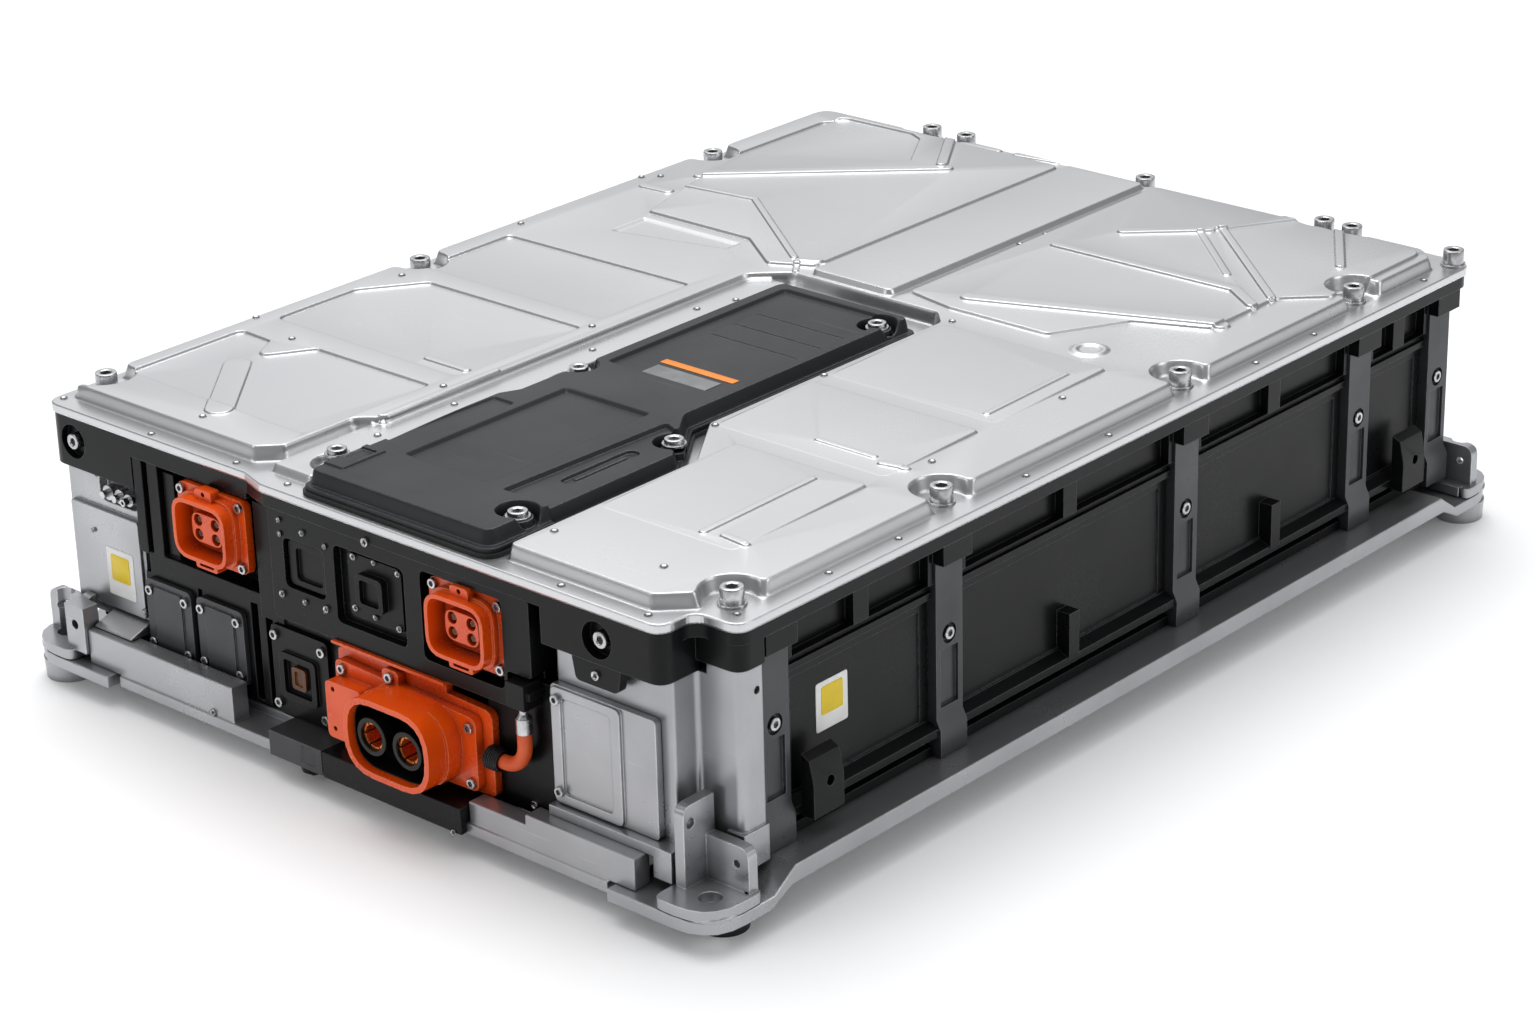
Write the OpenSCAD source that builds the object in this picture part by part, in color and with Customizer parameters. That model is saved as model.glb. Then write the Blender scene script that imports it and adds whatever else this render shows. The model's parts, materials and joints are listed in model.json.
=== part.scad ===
// Traction battery pack: pressed cover over a closed housing with a connector face at the front.
// Origin: centre of the four mounting bolts on the ground. X right, Y to the rear, Z up.
// Places are measured from the cover flange: lx, rx, fy, by and dz below.

/* [Cover flange] */
// Width of the cover flange
flange_w = 700; // [690:2:730]
// Length of the cover flange
flange_l = 940; // [925:5:1000]
// Height of the flange's top face above the ground
flange_z = 230; // [226:1:240]
// Thickness of the cover flange
flange_t = 6; // [4:0.5:8]
// How far the centre and right of the front edge stand forward
front_jog = 8; // [4:1:12]
// Width of the notch in the front right corner
notch_w = 40; // [34:1:44]
// Depth of the notch in the front right corner
notch_d = 34; // [28:1:38]
// Thickness of the cover gasket
gasket_t = 2; // [1:0.5:3]

/* [Pressed cover] */
// Height of the left and front right plateaus above the flange
plateau_h = 12; // [9:0.5:14]
// Extra height of the rear plateaus
rear_step = 2.5; // [2:0.5:4]
// Height of the central tunnel above the rear plateaus
tunnel_h = 2.5; // [2:0.5:4]
// Height of the stiffening pads and beads
bead_h = 2.2; // [1.5:0.1:3]
// Thickness of the pressed sheet
sheet_t = 3; // [2:0.5:4]
// Radius of the clearance round each cover bolt
bolt_clear_r = 21; // [17:0.5:23]

/* [Service cover] */
// Height of the service cover above the flange
service_h = 19; // [16:0.5:24]
// Wall of the service cover
service_wall = 3; // [2.5:0.5:4]
// Thickness of the service cover's foot
service_foot_t = 4; // [3:0.5:6]

/* [Housing] */
// Inset of the side walls from the flange edge
wall_inset = 20; // [18:1:22]
// Thickness of the housing walls
wall_t = 8; // [6:1:10]
// Width of a side post
post_w = 30; // [24:1:34]
// How far a post stands out from the wall
post_out = 10; // [8:0.5:12]
// Depth of the black upper band at the front
band_drop = 50; // [44:1:54]

/* [Base frame] */
// Height of the side rail's top face
rail_top = 42; // [40:0.5:44]
// Thickness of the side rail's lip
rail_lip = 14; // [10:1:16]
// How far the side rails stand out beyond the flange
rail_out = 17; // [14:1:22]
// Thickness of the lower strip under the lugs
strip_t = 10; // [8:1:10]
// Height of the mounting feet
foot_h = 17; // [14:1:18]
// Top face of the corner lugs
lug_top = 36; // [35:0.5:38]
// How far the corner lugs reach beyond their bolt holes
lug_over = 24; // [22:0.5:26]
// Thickness of a corner lug
lug_t = 8; // [7:0.5:8]

/* [Mounting] */
// Distance between the mounting holes across the pack
mount_x = 690; // [684:2:704]
// Distance between the mounting holes along the pack
mount_y = 950; // [945:1:960]
// Radius of the mounting holes
mount_r = 8.5; // [7:0.5:10]
// Radius of a mounting foot
foot_r = 21; // [18:0.5:23]

/* [Connectors] */
// Width of the mouth of an auxiliary connector
hv_w = 59; // [54:1:62]
// Height of the mouth of an auxiliary connector
hv_h = 49; // [45:1:52]
// How far an auxiliary connector stands out from its plate
hv_out = 14; // [10:1:18]
// Width of the main connector's mouth
main_w = 89; // [86:1:92]
// Height of the main connector's mouth
main_h = 63; // [60:1:66]
// How far the main connector stands out from its plate
main_out = 31; // [24:1:34]
// Distance between the two power contacts
pole_pitch = 37; // [35:0.5:39]
// Outside radius of an insulating ring
ring_r = 15; // [13:0.5:16]
// Diameter of the elbow lead
lead_d = 11; // [9:0.5:12]

/* [Cells] */
// Modules in each of the two columns
module_rows = 5; // [4:1:6]
// Height of a battery module
module_h = 126; // [110:1:130]
// Thickness of the cooling plate
cooling_t = 8; // [6:1:10]

/* [Hidden] */
$fn = 32;
fit = 0.3;
arc_steps = 5;
press_steps = 3;
bead_steps = 2;
silver = [0.75, 0.76, 0.77];
steel = [0.55, 0.56, 0.57];
charcoal = [0.10, 0.105, 0.11];
graphite = [0.20, 0.21, 0.22];
orange = [0.93, 0.26, 0.04];
copper = [0.80, 0.42, 0.18];

gasket_z = flange_z - flange_t - gasket_t;
floor_z = 30;
floor_t = 6;
wall_x = flange_w / 2 - wall_inset;
rear_y = flange_l / 2 - wall_inset;
rail_x = flange_w / 2 + rail_out;
rail_in = 64;
strip_top = foot_h + strip_t;
frame_y0 = -mount_y / 2 - lug_over;
frame_y1 = mount_y / 2 + lug_over;
joggle_y = mount_y / 2 - 60;
joggle_run = 22;
front_face = -front_jog + 2;
jog_x0 = 232;
jog_x1 = 258;
notch_in = front_jog - notch_d;

bolt_head_r = 8.5;
bolt_head_h = 15;
left_bolts = [47, 385, 751];
right_bolts = [51, 275, 565, 804];
back_bolts = [130, 170, 372, 560, 588, 688];
post_y = [71, 261, 551, 790, 908];

// Places measured from the left, right, front and back edges of the flange, and down from its top.
function lx(v) = v - flange_w / 2;
function rx(v) = flange_w / 2 - v;
function fy(v) = v - flange_l / 2;
function by(v) = flange_l / 2 - v;
function dz(v) = flange_z - v;

// Outline of rounded corners from a list of [x, y, radius], anticlockwise.
function unit(v) = v / norm(v);
function blend(a, p, b, r, n) =
    let(u = unit(a - p), v = unit(b - p), half = acos(u * v) / 2, run = r / tan(half))
    [for (i = [0 : n]) let(t = i / n) p + u * run * (1 - t) * (1 - t) + v * run * t * t];
function flat(c) = [c[0], c[1]];
function rounded(c, n = arc_steps) = [for (i = [0 : len(c) - 1])
    each blend(flat(c[(i + len(c) - 1) % len(c)]), flat(c[i]), flat(c[(i + 1) % len(c)]), c[i][2], n)];
function pressed(c) = rounded(c, press_steps);

// The same outline with every edge moved inward by d.
function turn(a, p, b) = cross(p - a, b - p);
function normal(a, b) = let(u = unit(b - a)) [-u[1], u[0]];
function inset(c, d) = [for (i = [0 : len(c) - 1]) let(
        a = flat(c[(i + len(c) - 1) % len(c)]), p = flat(c[i]), b = flat(c[(i + 1) % len(c)]),
        n = normal(a, p), m = normal(p, b), q = p + (n + m) * d / (1 + n * m),
        r = turn(a, p, b) > 0 ? max(c[i][2] - d, 0.5) : max(c[i][2] + d, 0.5))
    [q[0], q[1], r]];
function box_corners(x0, y0, x1, y1, r) = [[x0, y0, r], [x1, y0, r], [x1, y1, r], [x0, y1, r]];

// Closed solid between two outlines with equal counts.
module loft(low, high, z0, z1) {
    n = len(low);
    pts = concat([for (p = low) [p[0], p[1], z0]], [for (p = high) [p[0], p[1], z1]]);
    sides = [for (i = [0 : n - 1]) [i, i + n, (i + 1) % n + n, (i + 1) % n]];
    polyhedron(pts, concat([[for (i = [0 : n - 1]) i]], [[for (i = [n - 1 : -1 : 0]) i + n]], sides));
}

// A raised panel with drafted sides that stands on z0.
module raised(c, z0, h, draft = 0.5, n = press_steps) {
    loft(rounded(c, n), rounded(inset(c, h * draft), n), z0 - 1, z0 + h);
}

// A plateau with sloping sides: an upright core inside a sloping rim, which stands run mm wide at its foot.
module sloped(c, z0, z1, run) {
    rings = [pressed(c), pressed(inset(c, run)), pressed(inset(c, run + 1.5)), pressed(inset(c, run + 1.5))];
    z = [z0, z1, z1, z0];
    n = len(rings[0]);
    points = [for (k = [0 : 3]) each [for (p = rings[k]) [p[0], p[1], z[k]]]];
    faces = [for (k = [0 : 3], i = [0 : n - 1]) let(a = k * n, b = (k + 1) % 4 * n, j = (i + 1) % n) [a + i, b + i, b + j, a + j]];
    polyhedron(points, faces);
    translate([0, 0, z0]) linear_extrude(z1 - z0) polygon(pressed(inset(c, run + 0.8)));
}

module slab(c, z0, z1) {
    translate([0, 0, z0]) linear_extrude(z1 - z0) polygon(rounded(c));
}

// A block given by its two corners.
module block(a, b) {
    translate(a) cube(b - a);
}

// A slab that stands upright and faces the front: its outline is in x and z.
module face_slab(c, y0, y1) {
    translate([0, y1, 0]) rotate([90, 0, 0]) linear_extrude(y1 - y0) polygon(rounded(c));
}

// A bead between two points, with sloping sides.
module bead(a, b, w, z0, h) {
    u = unit(b - a);
    v = [-u[1], u[0]];
    c = [for (s = [[-1, -1], [1, -1], [1, 1], [-1, 1]])
        let(e = s[0] < 0 ? a : b, p = e + u * s[0] * w / 2 + v * s[1] * w / 2) [p[0], p[1], w * 0.3]];
    raised(c, z0, h, 0.8, bead_steps);
}

// Socket head screw that stands on its origin, axis +Z, with a shank below.
module socket_screw(r, h, shank_r, shank_l, washer = 0) {
    socket = r * 0.58;
    difference() {
        union() {
            rotate_extrude() polygon([[0, washer], [r, washer], [r, washer + h * 0.88],
                [r * 0.9, washer + h], [0, washer + h]]);
            if (washer > 0) cylinder(r = r * 1.3, h = washer);
            translate([0, 0, -shank_l]) cylinder(r = shank_r, h = shank_l + washer);
        }
        translate([0, 0, washer + h * 0.4]) cylinder(r = socket, h = h, $fn = 6);
    }
}

// Turns a screw or a cylinder so that it faces the front or a side.
module to_front(x, y, z) {
    translate([x, y, z]) rotate([90, 0, 0]) children();
}
module to_side(x, y, z, s) {
    translate([x, y, z]) rotate([0, s * 90, 0]) children();
}

// Outline of the cover flange, notched at the front right.
flange_c = [
    [lx(0), fy(0), 14], [lx(jog_x0), fy(0), 8], [lx(jog_x1), fy(-front_jog), 8],
    [rx(notch_w), fy(-front_jog), 14], [rx(notch_w), fy(-notch_in), 12], [rx(0), fy(-notch_in), 14],
    [rx(0), by(0), 16], [lx(0), by(0), 22]
];

// Every cover bolt, as [x, y].
cover_bolt_at = concat(
    [for (y = left_bolts) [lx(18), fy(y)]],
    [for (y = right_bolts) [rx(28), fy(y)]],
    [for (x = back_bolts) [lx(x), by(12)]]
);
// Service cover bolts as [x, y, side], where side is the way its pocket opens.
service_bolt_at = [[lx(285), fy(46), -1], [lx(473), fy(46), 1], [lx(309), fy(277), -1], [lx(468), fy(214), 1],
    [lx(429), fy(493), 1]];

module lower_tray() {
    tray_x = wall_x - fit;
    tray_y0 = fy(30);
    color(charcoal) union() {
        block([-tray_x, tray_y0, floor_z], [tray_x, rear_y - fit, floor_z + floor_t]);
        for (i = [-3 : 3]) block([-tray_x + rail_in, i * 120 - 8, foot_h + 4], [tray_x - rail_in, i * 120 + 8, floor_z + 1]);
    }
}

// Side rail: a lip that runs down under the corner lugs at both ends.
module side_rail() {
    x0 = rail_x - rail_in + 20;
    y1 = joggle_y;
    y2 = joggle_y + joggle_run;
    profile = [
        [-y2, foot_h], [-y1, rail_top - rail_lip], [y1, rail_top - rail_lip], [y2, foot_h], [frame_y1, foot_h],
        [frame_y1, strip_top], [y2 - 4, strip_top], [y1 - 4, rail_top], [-y1 + 4, rail_top], [-y2 + 4, strip_top],
        [frame_y0, strip_top], [frame_y0, foot_h]
    ];
    difference() {
        intersection() {
            union() {
                translate([rail_x, 0, 0]) rotate([90, 0, -90]) mirror([1, 0, 0])
                    linear_extrude(rail_x - x0) polygon(profile);
                for (s = [-1, 1])
                    block([rail_x - 98, min(s * (y2 + 2), s * frame_y1), foot_h],
                        [rail_x, max(s * (y2 + 2), s * frame_y1), strip_top]);
                block([wall_x - 46, -rear_y + 60, floor_z - 8], [rail_x - 20, rear_y - 60, floor_z]);
            }
            slab([[0, frame_y0, 1], [rail_x, frame_y0, 36], [rail_x, frame_y1, 36], [0, frame_y1, 1]], 0, flange_z);
        }
        for (s = [-1, 1]) translate([mount_x / 2, s * mount_y / 2, 0]) cylinder(r = mount_r, h = flange_z / 2);
        block([wall_x - 60, -rear_y, floor_z], [wall_x + fit, rear_y, flange_z]);
    }
}

module front_rail() {
    y0 = fy(-22);
    y1 = fy(14);
    y_up = fy(-4);
    color(silver) difference() {
        union() {
            block([-mount_x / 2 + 82, y0, foot_h], [mount_x / 2 - 82, y1, strip_top]);
            block([lx(50) + fit, y0 + 2, strip_top], [lx(220), y_up, dz(174)]);
            block([rx(225), y0 + 2, strip_top], [rx(62), y_up, dz(186)]);
            block([rx(168), y0 + 2, strip_top], [rx(62), y_up, dz(178)]);
            block([lx(200), y1 - 8, strip_top - 1], [rx(205), y1, dz(196)]);
        }
        translate([0, y0, foot_h]) rotate([45, 0, 0]) cube([flange_w * 2, 2, 2], center = true);
    }
}

module rear_rail() {
    y0 = by(14);
    y1 = by(-22);
    color(silver) difference() {
        union() {
            block([-mount_x / 2 + 82, y0, foot_h], [mount_x / 2 - 82, y1, strip_top]);
            block([lx(50), y0, strip_top], [rx(50), y1 - 2, dz(178)]);
        }
        block([lx(60), y0 + 8, strip_top - 1], [rx(60), y1 - 12, dz(184)]);
    }
}

// Corner lug with its two gussets, hole at the origin, outward to +x and +y. The gussets end at web.
module lug(tall, deep, web) {
    gusset_t = 9;
    out = rail_x - mount_x / 2;
    root_x = flange_w / 2 - notch_w + 5 - mount_x / 2;
    difference() {
        union() {
            slab([[root_x - 2, -deep, 3], [out, -deep, 6], [out, lug_over, 34], [root_x - 2, lug_over, 8]], lug_top - lug_t, lug_top);
            translate([0, 0, strip_top]) cylinder(r = foot_r, h = lug_top - lug_t - strip_top + 1);
            difference() {
                face = [[-web, lug_top - 1, 0.5], [2, lug_top - 1, 0.5], [2, lug_top + tall, 9], [-web, lug_top + tall, 0.5]];
                translate([root_x, 0, 0]) rotate([90, 0, 90]) linear_extrude(gusset_t) polygon(rounded(face));
                translate([root_x - 1, -5, lug_top + tall - 14]) rotate([0, 90, 0]) cylinder(r = 4, h = gusset_t + 2);
            }
            difference() {
                face = [[root_x + gusset_t - 1, lug_top - 1, 0.5], [out - 4, lug_top - 1, 0.5], [out - 4, lug_top + 34, 9],
                    [root_x + gusset_t - 1, lug_top + 34, 0.5]];
                translate([0, gusset_t - web, 0]) rotate([90, 0, 0]) linear_extrude(gusset_t) polygon(rounded(face));
                translate([out - 15, gusset_t - web + 1, lug_top + 20]) rotate([90, 0, 0]) cylinder(r = 3, h = gusset_t + 2);
            }
        }
        translate([0, 0, -1]) cylinder(r = mount_r, h = flange_z);
        translate([out - 7, -22, 0]) cylinder(r = 2.5, h = lug_top + 1);
    }
}

module front_left_lug() {
    at_corner(-1, -1) lug(38, 30, 8.5);
    difference() {
        block([lx(28), fy(-23), lug_top - 1], [lx(50), fy(-8), dz(156)]);
        to_front(lx(39), fy(-7), dz(172)) cylinder(r = 4, h = 20);
    }
}

module at_corner(sx, sy) {
    translate([sx * mount_x / 2, sy * mount_y / 2, 0]) mirror([sx < 0 ? 1 : 0, 0, 0]) mirror([0, sy < 0 ? 1 : 0, 0])
        children();
}

module foot(top_r) {
    difference() {
        cylinder(r1 = foot_r - 1, r2 = top_r, h = foot_h, $fn = 48);
        translate([0, 0, -1]) cylinder(r = mount_r, h = foot_h + 2);
    }
}

// Rubber foot beside the front right bolt.
module foot_rubber() {
    color(charcoal) translate([rx(16), fy(20), 0]) difference() {
        cylinder(r1 = foot_r - 3, r2 = foot_r - 1, h = foot_h);
        translate([0, 0, -1]) cylinder(r = 5, h = 7);
    }
}

// Ribbed side wall, drawn for the right side. Its section is drawn in x and z.
module side_wall() {
    y0 = fy(54);
    y1 = rear_y - wall_t;
    section = [
        [wall_x - wall_t, floor_z + floor_t], [wall_x - fit, floor_z + floor_t], [wall_x - fit, rail_top + fit],
        [wall_x + 6, rail_top + fit], [wall_x + 6, rail_top + 8], [wall_x, rail_top + 10], [wall_x, dz(172)], [wall_x + 12, dz(170)],
        [wall_x + 12, dz(164)], [wall_x + 2, dz(160)], [wall_x + 2, dz(64)], [wall_x + 6, dz(62)],
        [wall_x + 6, dz(57)], [wall_x + 3, dz(56)], [wall_x + 3, dz(52)], [wall_x + 8, dz(50)], [wall_x + 8, gasket_z - 10],
        [wall_x - wall_t, gasket_z - 10]
    ];
    bays = [for (i = [0 : len(post_y) - 2]) [fy(post_y[i]) + post_w / 2, fy(post_y[i + 1]) - post_w / 2]];
    difference() {
        translate([0, y1, 0]) rotate([90, 0, 0]) linear_extrude(y1 - y0) polygon(section);
        for (b = bays) {
            mid = (b[0] + b[1]) / 2;
            for (w = [[b[0] + 6, mid - 8], [mid + 8, b[1] - 6]])
                block([wall_x, w[0], dz(50)], [wall_x + 9, w[1], dz(22)]);
            block([wall_x + 0.8, b[0] + 10, dz(158)], [wall_x + 3, b[1] - 10, dz(70)]);
        }
        for (y = post_y) block([wall_x, fy(y) - post_w / 2 - fit, 0], [wall_x + 20, fy(y) + post_w / 2 + fit, flange_z]);
    }
    for (b = [bays[1], bays[2]]) {
        mid = (b[0] + b[1]) / 2;
        block([wall_x - 1, mid - 6, dz(166)], [wall_x + 13, mid + 6, dz(128)]);
    }
}

// One side post: a channel with a flared foot and a cap.
module side_post(y) {
    c = fy(y);
    x1 = wall_x + post_out;
    outline = [[wall_x + fit, rail_top + fit], [x1 + 4, rail_top + fit], [x1 + 4, dz(166)], [x1, dz(158)], [x1, dz(34)], [wall_x + fit, dz(34)]];
    difference() {
        translate([0, c + post_w / 2, 0]) rotate([90, 0, 0]) linear_extrude(post_w) polygon(outline);
        block([x1 - 3, c - post_w / 2 + 5, dz(150)], [x1 + 1, c + post_w / 2 - 5, dz(104)]);
        to_side(x1 + 1, c, dz(93), -1) cylinder(r = 8, h = 4);
        to_side(x1 + 1, c, dz(93), -1) cylinder(r = 2.5 + fit, h = 12);
    }
}

// The cap over a post, part of the wall casting.
module post_cap(y) {
    c = fy(y);
    block([wall_x - 1, c - post_w / 2 - 1, dz(34) + fit], [flange_w / 2 - 1.5, c + post_w / 2 + 1, gasket_z - 10]);
}

module wall_right_shape() {
    side_wall();
    for (y = post_y) post_cap(y);
}

module rear_wall() {
    y1 = rear_y;
    x1 = wall_x - 1 - fit;
    color(charcoal) difference() {
        union() {
            block([-x1, y1 - wall_t, floor_z + floor_t], [x1, y1 - fit, gasket_z - 10]);
            for (i = [-3 : 3]) block([i * 90 - 7, y1 - 1, dz(178) + fit], [i * 90 + 7, y1 + 8, gasket_z - 10]);
            block([-x1, y1 - 1, dz(62)], [x1, y1 + 6, dz(54)]);
            block([-x1, y1 - 1, dz(170)], [x1, y1 + 10, dz(160)]);
        }
        for (i = [-3 : 3]) to_front(i * 90, y1 + 9, dz(40)) cylinder(r = 3, h = 5);
    }
}

// Clevis bracket on a side wall, facing +x.
module side_bracket(y) {
    x0 = wall_x + 12 + fit;
    difference() {
        union() {
            block([x0, y - 16, dz(172)], [x0 + 12, y + 16, dz(146)]);
            translate([x0, y + 16, 0]) rotate([90, 0, 0]) linear_extrude(32)
                polygon([[0, dz(146)], [12, dz(146)], [8, dz(128)], [0, dz(124)]]);
        }
        to_side(x0 - 1, y + 2, dz(148), 1) cylinder(r = 4, h = 16);
    }
}

// Black frame under the gasket; its front band hangs down on both sides of the connectors.
module upper_frame() {
    frame_c = inset(flange_c, 1.5);
    depth = 10;
    color(charcoal) difference() {
        union() {
            slab(frame_c, gasket_z - depth, gasket_z);
            intersection() {
                slab(frame_c, dz(band_drop), gasket_z - depth + 1);
                union() {
                    block([lx(0), fy(0), 0], [lx(97), fy(14), flange_z]);
                    block([lx(0), fy(0), dz(23)], [lx(jog_x0 - 2), fy(14), flange_z]);
                    block([lx(0), fy(0), dz(30)], [lx(18), fy(52), flange_z]);
                    block([rx(156), fy(-front_jog), dz(band_drop) + 4], [rx(notch_w - 6), fy(14), flange_z]);
                }
            }
            slab([[rx(notch_w + 24), fy(-front_jog + 2), 2], [rx(notch_w + 1.5), fy(-front_jog + 2), 12],
                [rx(notch_w + 1.5), fy(-notch_in) + 6, 2], [rx(notch_w + 24), fy(-notch_in) + 6, 2]], dz(band_drop) + 4, gasket_z - depth + 1);
            slab([[rx(notch_w + 12), fy(-notch_in) + 1.5, 2], [rx(1.5), fy(-notch_in) + 1.5, 12],
                [rx(1.5), fy(54), 2], [rx(notch_w + 12), fy(54), 2]], dz(37), gasket_z - depth + 1);
            face_slab([[rx(124), dz(64), 5], [rx(84), dz(64), 5], [rx(80), dz(band_drop) + 8, 2], [rx(128), dz(band_drop) + 8, 2]],
                fy(-front_jog + 2), fy(2));
        }
        slab(inset(flange_c, 42), 0, flange_z);
        for (p = cover_bolt_at) translate([p[0], p[1], 0]) cylinder(r = 4.2, h = flange_z);
        to_front(lx(28), fy(8), dz(28)) cylinder(r = 14, h = 20);
        to_front(rx(102), fy(2), dz(28)) cylinder(r = 14, h = 20);
    }
}

// Black casting behind the connectors: back plate, ribs and the lower landings.
module front_housing() {
    y_back = fy(30);
    y_web = fy(20);
    low = dz(192);
    color(charcoal) difference() {
        union() {
            block([lx(96), y_web, low], [rx(156), y_back, gasket_z - 10]);
            block([lx(106), fy(4), dz(118)], [lx(jog_x0 + 4), y_web + 1, dz(100)]);
            block([lx(100), fy(4), low], [lx(238), y_web + 1, dz(118)]);
            block([lx(98), fy(2), dz(101)], [lx(108), y_web + 1, dz(23) - fit]);
            block([lx(112), fy(4), dz(101)], [lx(124), y_web + 1, dz(23) - fit]);
            block([lx(126), fy(8), dz(101)], [lx(138), y_web + 1, dz(30)]);
            block([lx(236), fy(2), dz(117)], [lx(262) - fit, y_web + 1, dz(23) - fit]);
            block([lx(246), fy(4), low], [lx(320), y_web + 1, dz(112)]);
            block([rx(224), fy(4), low], [rx(158), y_web + 1, dz(107)]);
            block([lx(508), fy(4), dz(108)], [rx(158), y_web + 1, dz(84)]);
            face_slab(pocket(lx(193), dz(68), 70, 34, 3), fy(5) + fit, y_web + 1);
        }
        block([lx(161), fy(3), dz(186)], [lx(165), fy(12), dz(116)]);
        block([lx(222), fy(3), dz(190)], [lx(230), fy(14), dz(110)]);
    }
}

// Plate that carries the connectors, with a pocket behind each.
module connector_panel() {
    y0 = fy(front_face);
    y1 = fy(20) - fit;
    color(charcoal) difference() {
        union() {
            face_slab([[lx(262), dz(106), 3], [lx(508) - fit, dz(106), 3], [lx(508) - fit, dz(78), 3], [rx(168), dz(78), 3],
                [rx(168), gasket_z - 10, 3], [lx(262), gasket_z - 10, 3]], y0, y0 + 14);
            for (x = [[lx(262), lx(276)], [lx(322), lx(334)], [lx(406), lx(420)], [rx(184), rx(168)]])
                block([x[0], y0 + 13, dz(82)], [x[1], y1, gasket_z - 11]);
        }
        face_slab(pocket(lx(299), dz(58), 44, 40, 6), y0 - 1, y0 + 8);
        face_slab(pocket(lx(369), dz(60), 74, 62, 6), y0 - 1, y0 + 7);
        face_slab(pocket(lx(464), dz(59), 82, 70, 6), y0 - 1, fy(5) + fit);
        for (p = [[275, 25], [275, 36], [300, 29], [324, 33], [273, 85], [298, 85], [321, 84]])
            to_front(lx(p[0]), y0 + 6, dz(p[1])) cylinder(r = 2.2, h = 8);
    }
}
function pocket(x, z, w, h, r) = box_corners(x - w / 2, z - h / 2, x + w / 2, z + h / 2, r);

module front_cover_left() {
    y1 = fy(14);
    color(silver) difference() {
        union() {
            block([lx(10), fy(8), dz(172)], [lx(96), fy(30), dz(band_drop) - fit]);
            face_slab(pocket(lx(54), dz(121), 80, 82, 3), fy(4), fy(9));
            translate([lx(52), 0, 0]) rotate([90, 0, 90]) linear_extrude(44)
                polygon([[fy(14), dz(164)], [fy(8), dz(164)], [fy(-14), dz(172)], [fy(-14), dz(174) + fit], [fy(14), dz(174) + fit]]);
        }
        face_slab(pocket(lx(70), dz(62), 46, 22, 8), fy(0), fy(16));
    }
}

module front_cover_right() {
    color(silver) difference() {
        union() {
            face_slab(pocket(rx(106), dz(124), 100, 92, 4), fy(0), fy(6));
            difference() {
                face_slab(pocket(rx(121), dz(124), 66, 90, 5), fy(-2.5), fy(1));
                face_slab(pocket(rx(121), dz(124), 48, 76, 4), fy(-4), fy(-0.5));
            }
        }
        for (z = [88, 160]) to_front(rx(148), fy(8), dz(z)) cylinder(r = 2.5, h = 12);
    }
}

// Hollow silver column in the notched corner, with the plinth beside the lug.
module corner_column() {
    top = dz(band_drop) + 4 - fit;
    wall = 5;
    low = dz(178) + fit;
    outline = [
        [rx(155), fy(6) + fit, 2], [rx(notch_w + 4), fy(6) + fit, 2], [rx(notch_w + 4), fy(-notch_in) + 4, 5],
        [rx(4), fy(-notch_in) + 4, 7], [rx(4), fy(54) - fit, 2], [rx(155), fy(54) - fit, 2]
    ];
    side_c = [[rx(notch_w - 4), fy(-notch_in) + 4, 3], [rx(4), fy(-notch_in) + 4, 7], [rx(4), fy(54) - fit, 2],
        [rx(notch_w - 4), fy(54) - fit, 2]];
    color(silver) difference() {
        union() {
            slab(outline, low, top);
            slab(side_c, rail_top + fit, dz(37) - fit);
            block([rx(155), fy(-8), low], [rx(38), fy(10), dz(170) - fit]);
            block([rx(55), fy(-8), lug_top], [rx(38), fy(10), dz(170) - fit]);
            block([rx(18), fy(28), rail_top + fit], [rx(2), fy(54) - fit, lug_top + 34]);
        }
        block([rx(148), fy(6) + wall, 0], [rx(notch_w + 2 + wall), fy(54) - wall, flange_z]);
        block([rx(notch_w - 6), fy(-notch_in) + 4 + wall, 0], [rx(4 + wall), fy(54) - wall, flange_z]);
        to_side(rx(8), fy(47), dz(56), 1) cylinder(r = 3, h = 8);
    }
}

module blanking_plates() {
    color(graphite) for (p = [[129.5, 152], [189.5, 151]]) {
        difference() {
            union() {
                face_slab(pocket(lx(p[0]), dz(p[1]), 53, 62, 6), fy(0), fy(4));
                face_slab(pocket(lx(p[0]), dz(p[1]), 32, 52, 3), fy(-1.5), fy(1));
            }
            for (sx = [-1, 1], sz = [-1, 1])
                to_front(lx(p[0]) + sx * 20.5, fy(5), dz(p[1]) + sz * 22) cylinder(r = 2.2, h = 10);
        }
    }
}

module lower_bracket() {
    color(graphite) difference() {
        union() {
            block([lx(268), fy(-27), dz(211)], [lx(326), fy(-22) - fit, dz(190.5)]);
            block([lx(268), fy(-23), strip_top + fit], [lx(326), fy(4) - fit, dz(190.5)]);
        }
        block([lx(272), fy(-16), strip_top], [lx(322), fy(-4), dz(196)]);
        block([lx(304), fy(-28), dz(207)], [lx(320), fy(-26), dz(193)]);
    }
}

module connector_support() {
    color(charcoal) difference() {
        union() {
            block([lx(328), fy(-28), dz(211)], [lx(474), fy(-22) - fit, dz(190)]);
            block([lx(328), fy(-23), strip_top + fit], [lx(474), fy(4) - fit, dz(190)]);
        }
        block([lx(334), fy(-18), strip_top], [lx(468), fy(-2), dz(196)]);
    }
}

module drain_plug() {
    color(charcoal) translate([lx(296), fy(-8), foot_h]) mirror([0, 0, 1]) union() {
        cylinder(r1 = 12, r2 = 10, h = 9);
        cylinder(r = 6, h = 12, $fn = 6);
    }
}

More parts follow.
